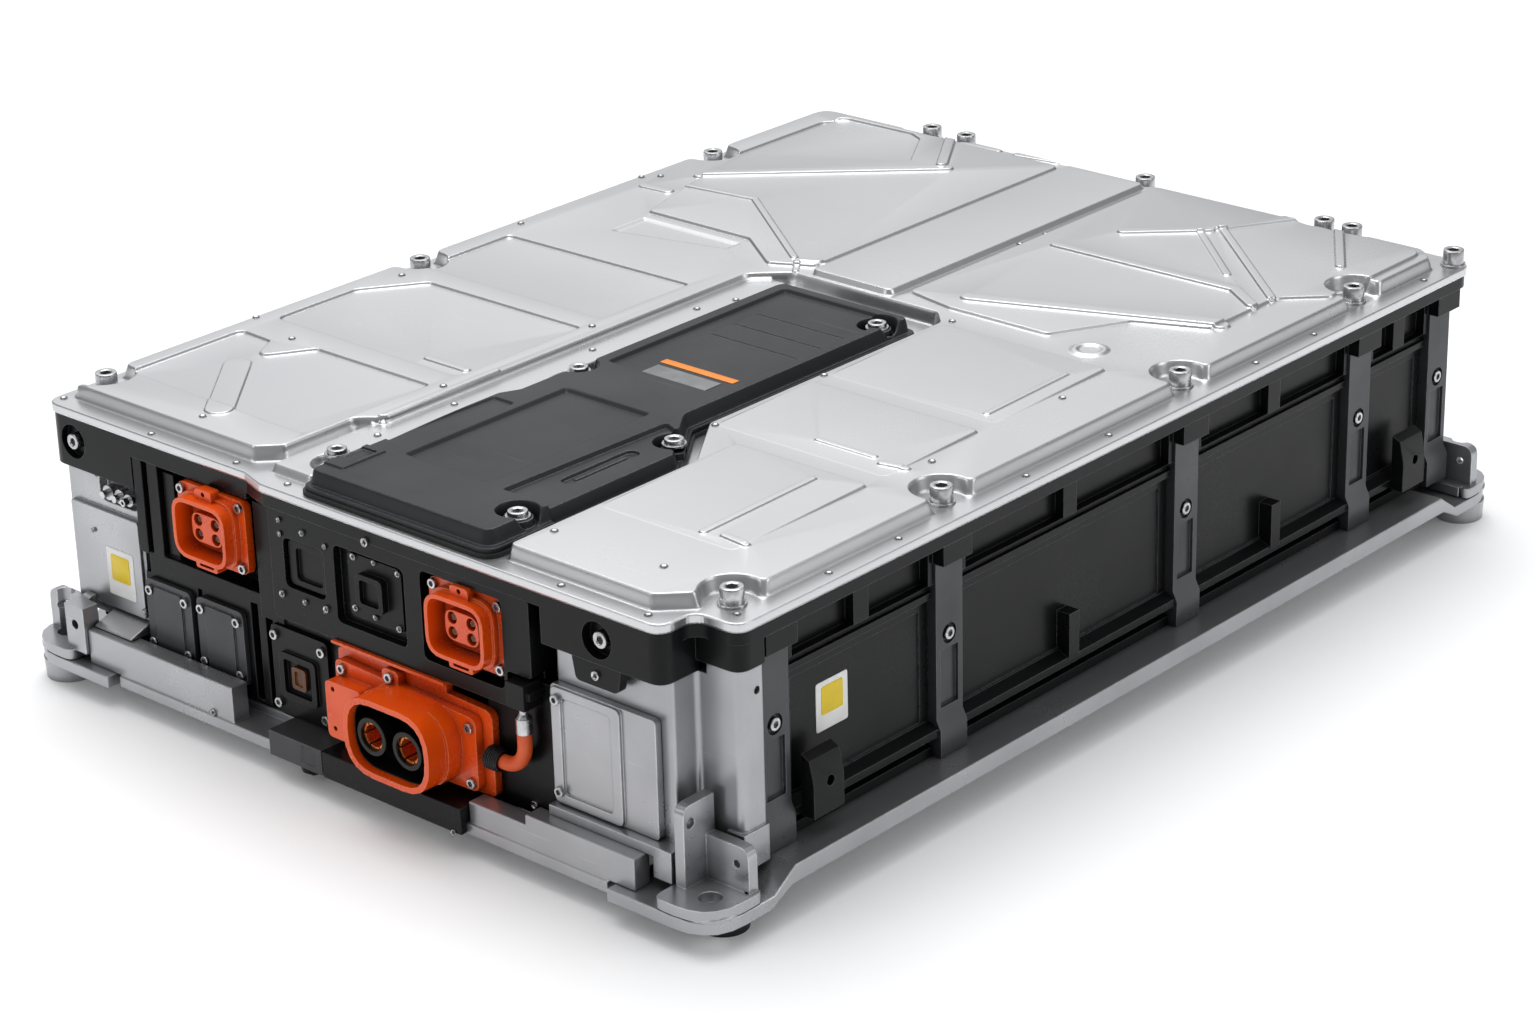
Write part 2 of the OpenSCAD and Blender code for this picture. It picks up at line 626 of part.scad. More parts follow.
// Auxiliary connector housing: flange, drafted barrel, latch above and clip below.
module hv_connector(x, z) {
    plate_w = hv_w + 17;
    plate_h = hv_h + 11;
    y0 = fy(-2);
    mouth = y0 - hv_out;
    wall = 3.2;
    color(orange) difference() {
        union() {
            face_slab(pocket(x, z, plate_w, plate_h, 9), y0, y0 + 7);
            face_slab(pocket(x, z, hv_w, hv_h, 15), mouth, y0 + 1);
            face_slab(pocket(x, z, hv_w + 4, hv_h + 4, 16), y0 - 5, y0 + 1);
            face_slab(pocket(x + 1, z + hv_h / 2 + 2, 18, 13, 3), y0 - 8, y0 + 1);
            face_slab(pocket(x, z - hv_h / 2 - 3, 24, 9, 2), mouth + 5, y0 + 1);
        }
        face_slab(pocket(x, z, hv_w - 2 * wall, hv_h - 2 * wall, 15 - wall), mouth - 1, y0 + 4);
        face_slab(pocket(x, z - hv_h / 2 - 3.5, 16, 4, 1), mouth + 4, y0 - 2);
        for (p = hv_screws(x, z)) to_front(p[0], y0 + 8, p[1]) cylinder(r = 2.4, h = 10);
        to_front(x + 1, y0 - 3, z + hv_h / 2 + 5) cylinder(r = 2, h = 6);
    }
}
function hv_screws(x, z) = [
    [x - hv_w / 2 - 3, z + hv_h / 2], [x + hv_w / 2 + 3, z + hv_h / 2], [x + hv_w / 2 + 3, z - hv_h / 2]
];
hv_at = [[lx(193), dz(55)], [lx(466), dz(57)]];

module hv_inserts() {
    color(charcoal) for (p = hv_at) difference() {
        union() {
            face_slab(pocket(p[0], p[1], hv_w - 7, hv_h - 7, 11), fy(1), fy(2));
            face_slab(pocket(p[0], p[1], 34, 24, 9), fy(-8), fy(1.5));
        }
        for (sx = [-1, 1], sz = [-1, 1])
            to_front(p[0] + sx * 9.5, fy(1), p[1] + sz * 5.8) cylinder(r = 4.6, h = 12);
    }
}

module hv_pins() {
    color(copper) for (p = hv_at, sx = [-1, 1], sz = [-1, 1])
        to_front(p[0] + sx * 9.5, fy(1), p[1] + sz * 5.8) cylinder(r = 2.4, h = 7);
}

main_at = [lx(414), dz(153)];
main_face = fy(-10);
module main_connector() {
    x = main_at[0];
    z = main_at[1];
    mouth = main_face - main_out;
    wall = 4.5;
    corner = 29;
    color(orange) difference() {
        union() {
            face_slab([[x - 84, z - 34, 6], [x + 62, z - 30, 6], [x + 62, z + 28, 6], [x - 84, z + 34, 6]], main_face, main_face + 7);
            face_slab(pocket(x, z, main_w, main_h, corner), mouth, main_face + 1);
            face_slab(pocket(x, z, main_w + 6, main_h - 2, corner), main_face - 14, main_face + 1);
            face_slab(pocket(x - 63, z - 1, 38, 46, 5), main_face - 13, main_face + 1);
            face_slab(pocket(x - 25, z + 33, 17, 17, 5), main_face, main_face + 7);
        }
        face_slab(pocket(x, z, main_w - 2 * wall, main_h - 2 * wall, corner - wall), mouth - 1, main_face + 2);
        for (p = main_screws()) to_front(p[0], main_face + 8, p[1]) cylinder(r = 2.6, h = 10);
        for (dzz = [-16, 16]) to_front(x - 74, main_face - 10, z + dzz) cylinder(r = 2, h = 5);
    }
}
function main_screws() = let(x = main_at[0], z = main_at[1])
    [[x - 76, z + 27.5], [x - 25, z + 35.5], [x + 56, z + 20], [x + 56, z - 24]];

module main_connector_plate() {
    x = main_at[0];
    z = main_at[1];
    y0 = main_face + 7 + fit;
    color(orange) union() {
        face_slab([[x - 88, z - 36, 5], [x + 72, z - 34, 5], [x + 72, z + 34, 8], [x - 88, z + 40, 5]], y0, fy(4) - fit);
        face_slab(box_corners(lx(330), dz(118), lx(440), dz(106.3), 0.8), y0, fy(4) - fit);
        face_slab(box_corners(lx(326), dz(108.5), lx(444), dz(106.3), 0.8), fy(-9), fy(2));
    }
}

module main_insert() {
    x = main_at[0];
    z = main_at[1];
    wall = 4.8;
    color(charcoal) difference() {
        face_slab(pocket(x, z, main_w - 2 * wall, main_h - 2 * wall, 24), main_face - 8, main_face + 1.5);
        for (s = [-1, 1]) to_front(x + s * pole_pitch / 2, main_face + 3, z) cylinder(r = ring_r + 0.2, h = 20);
    }
}

module contact_rings() {
    color(graphite) for (s = [-1, 1]) to_front(main_at[0] + s * pole_pitch / 2, main_face + 1.5, main_at[1]) difference() {
        cylinder(r = ring_r, h = main_out - 2);
        translate([0, 0, 3]) cylinder(r = ring_r - 4, h = main_out);
    }
}

// Spring contact: a tube slit into fingers.
module power_contacts() {
    color(copper) for (s = [-1, 1]) to_front(main_at[0] + s * pole_pitch / 2, main_face - 1.5 - fit, main_at[1]) difference() {
        cylinder(r = ring_r - 4.3, h = main_out - 8);
        translate([0, 0, 4]) cylinder(r = ring_r - 6.2, h = main_out);
        for (a = [0 : 60 : 150]) translate([0, 0, main_out / 2 + 4]) rotate([0, 0, a]) cube([ring_r * 2, 1.4, main_out - 10], center = true);
    }
}

module signal_socket() {
    y0 = fy(front_face) + 8;
    color(charcoal) difference() {
        face_slab(pocket(lx(299), dz(58), 40, 36, 5), y0 - 5, y0 - fit);
        face_slab(pocket(lx(301), dz(58), 28, 26, 4), y0 - 6, y0 - 2);
    }
}

// The square connector on the panel and the one on the lower left landing.
module signal_connectors() {
    y0 = fy(front_face) + 7;
    color(graphite) union() {
        difference() {
            union() {
                face_slab(pocket(lx(371), dz(58), 56, 50, 4), y0 - 3, y0 - fit);
                face_slab(pocket(lx(370), dz(58), 28, 27, 5), y0 - 9, y0 - 2);
            }
            face_slab(pocket(lx(370), dz(58), 20, 19, 3), y0 - 10, y0 - 5);
        }
        translate([0, 0, 0]) difference() {
            union() {
                face_slab(pocket(lx(279), dz(154), 62, 72, 5), fy(0), fy(4) - fit);
                face_slab(pocket(lx(278), dz(156), 40, 38, 5), fy(-3), fy(1));
            }
            face_slab(pocket(lx(278), dz(156), 30, 28, 3), fy(-4), fy(1));
            for (sx = [-1, 1], sz = [-1, 1]) to_front(lx(279) + sx * 26, fy(5), dz(154) + sz * 28) cylinder(r = 2.2, h = 10);
        }
    }
}

module signal_seal() {
    color(orange) difference() {
        face_slab(pocket(lx(278), dz(156), 15, 18, 3), fy(-2), fy(1) - fit);
        face_slab(pocket(lx(278), dz(156), 9, 12, 2), fy(-3), fy(-0.5));
    }
}

// Ribbed gland on the main connector plate; the lead comes out to the right.
gland_at = [lx(486), fy(-6), dz(152)];
module cable_gland() {
    color(charcoal) translate(gland_at) rotate([0, 90, 0]) rotate_extrude()
        polygon([[0, fit], [9, fit], [9, 3], [8, 4], [9, 5], [8, 6], [9, 7], [8, 8], [9, 9], [8, 10], [8, 13], [0, 13]]);
}

lead_end_z = dz(122);
lead_bend = 20;
module elbow_lead() {
    x0 = gland_at[0] + 13;
    color(orange) union() {
        translate([x0, gland_at[1], gland_at[2]]) rotate([0, 90, 0]) cylinder(r = lead_d / 2, h = 3);
        translate([x0 + 3, gland_at[1], gland_at[2] + lead_bend]) rotate([90, 0, 0]) rotate([0, 0, -90])
            rotate_extrude(angle = 90, $fn = 48) translate([lead_bend, 0]) circle(r = lead_d / 2, $fn = 24);
        translate([x0 + 3 + lead_bend, gland_at[1], gland_at[2] + lead_bend])
            cylinder(r = lead_d / 2, h = lead_end_z - gland_at[2] - lead_bend);
    }
}

module lead_ferrule() {
    color(steel) translate([gland_at[0] + 16 + lead_bend, gland_at[1], lead_end_z]) union() {
        cylinder(r = lead_d / 2 + 0.6, h = 12);
        translate([0, 0, 12]) cylinder(r1 = lead_d / 2, r2 = 3.2, h = 3);
        translate([0, 0, 15]) cylinder(r = 3.2, h = 6);
    }
}

module fitting_block() {
    z0 = lead_end_z + 21;
    x = gland_at[0] + 16 + lead_bend;
    color(charcoal) union() {
        block([x - 9, gland_at[1] - 8, z0], [x + 9, fy(4) - fit, z0 + 20]);
        block([x - 12, gland_at[1] - 5, z0 + 8], [x + 12, fy(4) - fit, z0 + 14]);
    }
}

module ground_studs() {
    color(steel) union() {
        for (x = [62, 76]) to_front(lx(x), fy(16), dz(63)) {
            cylinder(r = 6, h = 12);
            cylinder(r = 3, h = 18);
        }
        to_front(lx(89), fy(8), dz(62)) difference() {
            union() {
                cylinder(r = 5, h = 6);
                cylinder(r = 3, h = 12);
            }
            cylinder(r = 1.5, h = 14);
        }
    }
}

// The main plateau of the pressed cover runs round the service cover on three sides.
plateau_c = [
    [lx(9), fy(16), 12], [lx(224), fy(16), 10], [lx(242), fy(34), 8], [lx(242), fy(104), 8], [lx(262), fy(120), 10],
    [lx(262), fy(526), 12], [lx(288), fy(550), 12], [lx(440), fy(550), 8], [lx(455), fy(535), 8], [lx(455), fy(262), 10],
    [lx(497), fy(202), 10], [lx(497), fy(7), 8], [rx(62), fy(7), 12], [rx(16), fy(52), 16], [rx(16), by(20), 18],
    [lx(9), by(24), 20]
];
tunnel_c = [[lx(302), fy(560), 8], [lx(386), fy(560), 8], [lx(386), by(26), 8], [lx(302), by(26), 8]];
rear_right_c = [
    [rx(255), fy(562), 6], [rx(155), fy(562), 8], [rx(120), fy(627), 10], [rx(60), fy(652), 8], [rx(60), fy(740), 20],
    [rx(27), fy(770), 10], [rx(27), by(32), 16], [lx(392), by(32), 8], [lx(392), fy(566), 6]
];
rear_left_c = [
    [lx(88), fy(590), 8], [lx(205), fy(590), 10], [lx(258), fy(556), 8], [lx(296), fy(572), 8], [lx(296), by(35), 10],
    [lx(43), by(35), 20], [lx(43), fy(770), 12], [lx(60), fy(690), 12]
];

// Sunk pads of the left plateau and raised pads of the right one.
sunk_pads = [
    [[lx(40), fy(215), 8], [lx(240), fy(215), 8], [lx(240), fy(350), 5], [lx(60), fy(350), 10], [lx(40), fy(305), 10]],
    [[lx(85), fy(52), 10], [lx(228), fy(52), 10], [lx(228), fy(190), 5], [lx(106), fy(190), 10], [lx(85), fy(150), 10]],
    [[lx(36), fy(375), 8], [lx(240), fy(375), 8], [lx(240), fy(478), 5], [lx(36), fy(478), 8]]
];
raised_pads = [
    box_corners(rx(193), fy(106), rx(106), fy(240), 8),
    box_corners(rx(232), fy(270), rx(72), fy(370), 8),
    box_corners(rx(232), fy(402), rx(88), fy(530), 8)
];

// The hollow under the plateau keeps clear of the bolts and of the service cover.
under_x = bolt_clear_r + sheet_t;
under_c = [
    [lx(20 + under_x), fy(28), 6], [lx(230), fy(28), 6], [lx(230), fy(564), 6], [lx(510), fy(564), 6], [lx(510), fy(20), 6],
    [rx(76), fy(20), 6], [rx(32 + under_x), fy(40), 6], [rx(32 + under_x), by(16 + under_x), 6], [lx(20 + under_x), by(16 + under_x), 6]
];

module cover_notches() {
    for (p = cover_bolt_at) translate([p[0], p[1], flange_z - flange_t - 5]) cylinder(r = bolt_clear_r, h = 60);
}

module top_cover() {
    top = flange_z + plateau_h;
    opening = box_corners(lx(320), fy(60), lx(425), fy(490), 10);
    color(silver) difference() {
        union() {
            slab(flange_c, flange_z - flange_t, flange_z);
            difference() {
                union() {
                    sloped(plateau_c, flange_z - 1, top, plateau_h * 0.5);
                    slab(rear_right_c, top - 1, top + rear_step);
                    slab(rear_left_c, top - 1, top + rear_step);
                    raised(tunnel_c, flange_z, plateau_h + rear_step + tunnel_h);
                    for (c = raised_pads) raised(c, top, bead_h, 1, bead_steps);
                    bead([lx(60), fy(700)], [lx(212), fy(812)], 10, top + rear_step, bead_h);
                    bead([lx(150), fy(905)], [lx(214), fy(832)], 10, top + rear_step, bead_h);
                    bead([rx(245), fy(597)], [rx(62), fy(662)], 12, top + rear_step, bead_h);
                    bead([rx(275), fy(735)], [rx(100), fy(735)], 10, top + rear_step, bead_h);
                    bead([rx(188), fy(852)], [rx(60), fy(735)], 8, top + rear_step, bead_h);
                    bead([rx(188), fy(855)], [rx(140), fy(912)], 10, top + rear_step, bead_h);
                    bead([rx(240), fy(792)], [rx(192), fy(846)], 10, top + rear_step, bead_h);
                    bead([lx(30), fy(84)], [lx(30), fy(180)], 8, top, bead_h);
                    bead([lx(70), fy(130)], [lx(122), fy(58)], 6, top, bead_h);
                }
                cover_notches();
                for (c = sunk_pads) loft(rounded(inset(c, bead_h), bead_steps), rounded(c, bead_steps), top - bead_h, top + 1);
            }
        }
        slab(under_c, flange_z - flange_t - 1, top - sheet_t - bead_h);
        slab(opening, 0, flange_z * 2);
        for (p = cover_bolt_at) translate([p[0], p[1], 0]) cylinder(r = 4.5, h = flange_z + 1);
        for (p = service_bolt_at) translate([p[0], p[1], 0]) cylinder(r = 3.5, h = flange_z + 1);
    }
}

module cover_gasket() {
    color(charcoal) difference() {
        slab(inset(flange_c, 2), gasket_z, flange_z - flange_t);
        slab(inset(flange_c, 36), 0, flange_z);
        for (p = cover_bolt_at) translate([p[0], p[1], 0]) cylinder(r = 5, h = flange_z);
    }
}

module cover_bolts() {
    color(steel) for (p = cover_bolt_at) translate([p[0], p[1], flange_z])
        socket_screw(bolt_head_r, bolt_head_h, 4, flange_t + gasket_t + 8, 2.5);
}

service_c = [
    [lx(296), fy(-1), 10], [lx(491), fy(-1), 14], [lx(491), fy(196), 8], [lx(449), fy(254), 8], [lx(449), fy(520), 10],
    [lx(304), fy(520), 14], [lx(304), fy(214), 6], [lx(296), fy(198), 6]
];
service_z = flange_z + 3;
ear_r = 14;

// The hollow under the service cover keeps clear of the bolt pockets.
hollow_c = [[lx(328), fy(6), 6], [lx(452), fy(6), 6], [lx(452), fy(186), 6], [lx(436), fy(240), 6], [lx(436), fy(474), 6],
    [lx(328), fy(474), 6]];

// Space over a service bolt, open to its side.
module bolt_pocket(p) {
    half = ear_r - 1;
    deep = p[0] - p[2] * half;
    out = p[0] + p[2] * 60;
    slab(box_corners(min(deep, out), p[1] - half, max(deep, out), p[1] + half, 9), service_z - 1, service_z + 59);
}

// Black service cover: a drafted shell on a foot, with sunken panels and bolt ears.
module service_cover() {
    foot_top = service_z + service_foot_t;
    top = flange_z + service_h;
    body = inset(service_c, 3);
    panels = [box_corners(lx(336), fy(76), lx(405), fy(234), 6), box_corners(lx(324), fy(300), lx(405), fy(384), 5),
        box_corners(lx(324), fy(392), lx(405), fy(504), 5)];
    color(charcoal) difference() {
        union() {
            slab(service_c, service_z, foot_top);
            difference() {
                sloped(body, foot_top - 1, top, service_wall);
                for (p = service_bolt_at) bolt_pocket(p);
            }
            for (p = service_bolt_at) translate([p[0], p[1], service_z]) cylinder(r = ear_r, h = service_foot_t + 2);
        }
        slab(hollow_c, service_z - 1, top - service_wall - 3);
        for (c = panels) loft(pressed(inset(c, 3)), pressed(c), top - 3, top + 1);
        block([lx(453), fy(108), top - 6], [lx(466), fy(180), top + 1]);
        for (y = [412, 436, 460]) block([lx(408), fy(y), top - 2], [lx(452), fy(y + 8), top + 1]);
        for (p = service_bolt_at) translate([p[0], p[1], 0]) cylinder(r = 3.5, h = flange_z * 2);
    }
}

module service_gasket() {
    color(charcoal) difference() {
        slab(inset(service_c, -2), flange_z, service_z);
        slab(inset(service_c, 12), 0, flange_z * 2);
        for (p = service_bolt_at) translate([p[0], p[1], 0]) cylinder(r = 4, h = flange_z * 2);
    }
}

module service_bolts() {
    color(steel) for (p = service_bolt_at) translate([p[0], p[1], service_z + service_foot_t + 2])
        socket_screw(7.5, 9, 3.2, 14, 1.5);
}

// Every small screw on the connector face, as [x, y, z].
front_screw_at = concat(
    [for (p = [129.5, 189.5], sx = [-1, 1], sz = [-1, 1]) [lx(p) + sx * 20.5, fy(0), dz(p < 150 ? 152 : 151) + sz * 22]],
    [for (h = hv_at, p = hv_screws(h[0], h[1])) [p[0], fy(-2), p[1]]],
    [for (p = main_screws()) [p[0], main_face, p[1]]],
    [for (sx = [-1, 1], sz = [-1, 1]) [lx(279) + sx * 26, fy(0), dz(154) + sz * 28]],
    [for (z = [88, 160]) [rx(148), fy(-2.5), dz(z)]]
);

module front_screws() {
    color(steel) for (p = front_screw_at) to_front(p[0], p[1], p[2]) socket_screw(4, 3, 2, 4);
}

module side_screws() {
    color(steel) for (s = [-1, 1], y = post_y)
        to_side(s * (wall_x + post_out - 3), fy(y), dz(93), s) socket_screw(5, 4, 2.5, 6);
}

module cooling_plate() {
    x = wall_x - wall_t - 22;
    z0 = floor_z + floor_t;
    color(silver) block([-x, fy(70), z0], [x, rear_y - 40, z0 + cooling_t]);
}

// The modules stand on the cooling plate in two columns.
module_gap = 4;
module_y0 = fy(120);
module_y1 = rear_y - 60;
module_len = (module_y1 - module_y0 - (module_rows - 1) * module_gap) / module_rows;
module_w = wall_x - wall_t - 30;
module_z = floor_z + floor_t + cooling_t;
module battery_modules() {
    color(graphite) for (s = [-1, 1], i = [0 : module_rows - 1]) {
        y = module_y0 + i * (module_len + module_gap);
        x0 = s < 0 ? -module_w - 4 : 4;
        difference() {
            block([x0, y, module_z], [x0 + module_w, y + module_len, module_z + module_h]);
            block([x0 + 20, y + 12, module_z + module_h - 3], [x0 + module_w - 20, y + module_len - 12, module_z + module_h + 1]);
        }
    }
}

module busbars() {
    z = module_z + module_h;
    color(copper) union() {
        for (s = [-1, 1], i = [0 : module_rows - 2]) {
            y = module_y0 + (i + 1) * (module_len + module_gap) - module_gap / 2;
            x = s * (module_w / 2 + 4);
            block([x - 14, y - 10, z], [x + 14, y + 10, z + 3]);
        }
        block([-30, module_y1 - 10, z], [30, module_y1 - 2, z + 3]);
    }
}

shelf_y0 = fy(40);
shelf_y1 = fy(68);
module bms_board() {
    z = floor_z + floor_t + cooling_t;
    color("darkgreen") union() {
        block([lx(120), shelf_y0, floor_z + floor_t], [lx(124), shelf_y1, z + 80]);
        for (y = [shelf_y0 + 2, shelf_y0 + 15]) block([lx(124) - 1, y, z + 20], [lx(132), y + 10, z + 50]);
    }
}

module contactors() {
    color(charcoal) for (x = [360, 440]) translate([lx(x), fy(52), floor_z + floor_t]) {
        translate([-25, -16, 0]) cube([50, 34, 60]);
        translate([0, 0, 60]) cylinder(r = 14, h = 12);
    }
}

module main_fuse() {
    color("beige") translate([lx(520), fy(52), floor_z + floor_t]) union() {
        translate([-24, -14, 0]) cube([48, 28, 20]);
        translate([-22, 0, 34]) rotate([0, 90, 0]) cylinder(r = 14.5, h = 44);
    }
}

module current_sensor() {
    color(graphite) translate([lx(290), fy(52), floor_z + floor_t]) difference() {
        translate([-20, -12, 0]) cube([40, 24, 50]);
        translate([0, 20, 30]) rotate([90, 0, 0]) cylinder(r = 11, h = 40);
    }
}

module coolant_manifold() {
    x0 = wall_x - wall_t - 14;
    z = floor_z + floor_t + 10;
    color(graphite) for (s = [-1, 1]) {
        translate([s * x0, fy(80), z]) rotate([-90, 0, 0]) cylinder(r = 7, h = rear_y - 60 - fy(80));
        for (i = [-2 : 2]) block([s * x0 - 3, i * 140 - 6, floor_z + floor_t], [s * x0 + 3, i * 140 + 6, z]);
    }
}

module mirrored_left() {
    mirror([1, 0, 0]) children();
}

lower_tray();
color(silver) mirrored_left() side_rail();  // left_rail
color(silver) side_rail();  // right_rail
front_rail();
rear_rail();
color(silver) front_left_lug();  // lug_front_left
color(silver) at_corner(1, -1) lug(62, 30, 29);  // lug_front_right
color(silver) at_corner(-1, 1) lug(38, 24, 13);  // lug_rear_left
color(silver) at_corner(1, 1) lug(38, 24, 13);  // lug_rear_right
color(silver) {  // foot_spacers
    at_corner(-1, -1) foot(foot_r);
    at_corner(-1, 1) foot(foot_r);
    at_corner(1, 1) foot(foot_r);
}
foot_rubber();
color(charcoal) mirrored_left() wall_right_shape();  // left_wall
color(charcoal) wall_right_shape();  // right_wall
rear_wall();
color(graphite) mirrored_left() for (y = post_y) side_post(y);  // left_posts
color(graphite) for (y = post_y) side_post(y);  // right_posts
color(charcoal) {  // side_brackets
    for (y = [fy(110), by(85)]) {
        side_bracket(y);
        mirrored_left() side_bracket(y);
    }
}
upper_frame();
front_housing();
connector_panel();
front_cover_left();
front_cover_right();
corner_column();
blanking_plates();
lower_bracket();
connector_support();
drain_plug();
hv_connector(hv_at[0][0], hv_at[0][1]);  // hv_connector_left
hv_connector(hv_at[1][0], hv_at[1][1]);  // hv_connector_right
hv_inserts();
hv_pins();
main_connector();
main_connector_plate();
main_insert();
contact_rings();
power_contacts();
signal_socket();
signal_connectors();
signal_seal();
cable_gland();
elbow_lead();
lead_ferrule();
fitting_block();
ground_studs();
top_cover();
cover_gasket();
cover_bolts();
service_cover();
service_gasket();
service_bolts();
front_screws();
side_screws();
cooling_plate();
battery_modules();
busbars();
bms_board();
contactors();
main_fuse();
current_sensor();
coolant_manifold();
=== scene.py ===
"""Studio scene of a traction battery pack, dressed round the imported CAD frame.

The pressed sheets are drawn in millimetres from the front left corner of the cover flange: u runs to the
right, v to the rear and w up from the flange's top face. Everything else lies in the frame of the CAD, with
Blender's own lengths in metres and a class's sizes in the unit that its docstring names.
"""

from __future__ import annotations

import json
import logging
import math
from dataclasses import dataclass, field
from enum import Enum

import bmesh
import bpy
import numpy as np
from mathutils import Matrix, Vector
from mathutils.geometry import delaunay_2d_cdt


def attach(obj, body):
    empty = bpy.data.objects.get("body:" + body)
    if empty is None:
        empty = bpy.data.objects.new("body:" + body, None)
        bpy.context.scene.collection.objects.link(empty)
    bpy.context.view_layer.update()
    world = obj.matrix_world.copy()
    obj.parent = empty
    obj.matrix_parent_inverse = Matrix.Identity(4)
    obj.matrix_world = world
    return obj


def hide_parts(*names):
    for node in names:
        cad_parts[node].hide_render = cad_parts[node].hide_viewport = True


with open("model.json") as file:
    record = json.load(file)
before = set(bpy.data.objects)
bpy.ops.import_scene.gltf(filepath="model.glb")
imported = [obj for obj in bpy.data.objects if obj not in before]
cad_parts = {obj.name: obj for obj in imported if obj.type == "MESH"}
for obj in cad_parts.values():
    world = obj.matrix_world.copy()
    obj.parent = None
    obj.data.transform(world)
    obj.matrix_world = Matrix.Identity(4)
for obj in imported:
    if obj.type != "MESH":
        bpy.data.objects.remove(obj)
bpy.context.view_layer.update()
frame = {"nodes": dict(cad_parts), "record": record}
log = logging.getLogger("battery_pack")

RGB = tuple[float, float, float]
Corner = tuple[float, float, float]
Point = tuple[float, float]
MM = 0.001
FLANGE_W, FLANGE_L, FLANGE_Z = 700.0, 940.0, 230.0
UP, DOWN, REARWARD = Vector((0, 0, 1)), Vector((0, 0, -1)), Vector((0, 1, 0))


def srgb(red: int, green: int, blue: int) -> RGB:
    """Scene-linear colour of an 8-bit display colour.

    Args:
        red: red, 0 to 255.
        green: green, 0 to 255.
        blue: blue, 0 to 255.

    Returns:
        The colour as Blender's shaders take it.
    """
    shares = [c / 255 for c in (red, green, blue)]
    return tuple(c / 12.92 if c <= 0.04045 else ((c + 0.055) / 1.055) ** 2.4 for c in shares)


def flange_point(u: float, v: float, w: float = 0.0) -> Vector:
    """Point of the frame in metres, from millimetres along, behind and above the flange's corner."""
    return Vector((u - FLANGE_W / 2, v - FLANGE_L / 2, FLANGE_Z + w)) * MM


class Slot(Enum):
    """Material slots of the record."""

    COVER = "cover_aluminium"
    CAST = "cast_aluminium"
    BLACK_CAST = "black_casting"
    DARK_STEEL = "dark_steel"
    SERVICE = "service_black"
    BLACK_PLASTIC = "black_plastic"
    RING = "ring_plastic"
    ORANGE = "connector_orange"
    LEAD = "lead_orange"
    CONTACT = "contact_metal"
    FASTENER = "fastener_steel"
    SEAL = "seal_rubber"
    MODULE = "module_case"
    BOARD = "board_green"
    FUSE = "fuse_ceramic"


# ---------------------------------------------------------------- finishes


class NodeSheet:
    """A node tree with short calls for the nodes that the finishes use."""

    def __init__(self, tree: bpy.types.NodeTree) -> None:
        """Starts from an empty tree."""
        self.tree = tree
        tree.nodes.clear()

    def add(self, kind: str, inputs: dict | None = None, **settings: object) -> bpy.types.Node:
        """Adds a node.

        Args:
            kind: Blender's name of the node without the leading "ShaderNode".
            inputs: values or sockets by input name or number.
            settings: attributes of the node.

        Returns:
            The new node.
        """
        node = self.tree.nodes.new("ShaderNode" + kind)
        for name, value in settings.items():
            setattr(node, name, value)
        for name, value in (inputs or {}).items():
            if isinstance(value, bpy.types.NodeSocket):
                self.tree.links.new(value, node.inputs[name])
            else:
                node.inputs[name].default_value = value
        return node

    def noise(self, vector: bpy.types.NodeSocket, scale: float, detail: float = 2.0) -> bpy.types.NodeSocket:
        """Grey noise of a given count per metre."""
        return self.add("TexNoise", {"Vector": vector, "Scale": scale, "Detail": detail}).outputs["Fac"]

    def spread(
        self, value: bpy.types.NodeSocket, low: float, high: float, to_low: float = 0.0, to_high: float = 1.0
    ) -> bpy.types.NodeSocket:
        """Value mapped from one range to another, clamped."""
        inputs = {"Value": value, "From Min": low, "From Max": high, "To Min": to_low, "To Max": to_high}
        return self.add("MapRange", inputs).outputs["Result"]

    def math(self, operation: str, a: object, b: object = 0.0) -> bpy.types.NodeSocket:
        """Result of a sum on one or two values."""
        return self.add("Math", {0: a, 1: b}, operation=operation).outputs[0]

    def mix(self, share: object, a: object, b: object) -> bpy.types.NodeSocket:
        """Mix of two colours.

        Args:
            share: how much of the second colour, as a number or a socket.
            a: first colour.
            b: second colour.

        Returns:
            The mixed colour.
        """
        node = self.add("Mix", data_type="RGBA")
        for name, value in (("Factor", share), ("A", a), ("B", b)):
            socket = next(s for s in node.inputs if s.name == name and (s.type == "RGBA" or name == "Factor"))
            if isinstance(value, bpy.types.NodeSocket):
                self.tree.links.new(value, socket)
            else:
                socket.default_value = (*value, 1.0) if isinstance(value, tuple) else value
        return next(s for s in node.outputs if s.type == "RGBA")


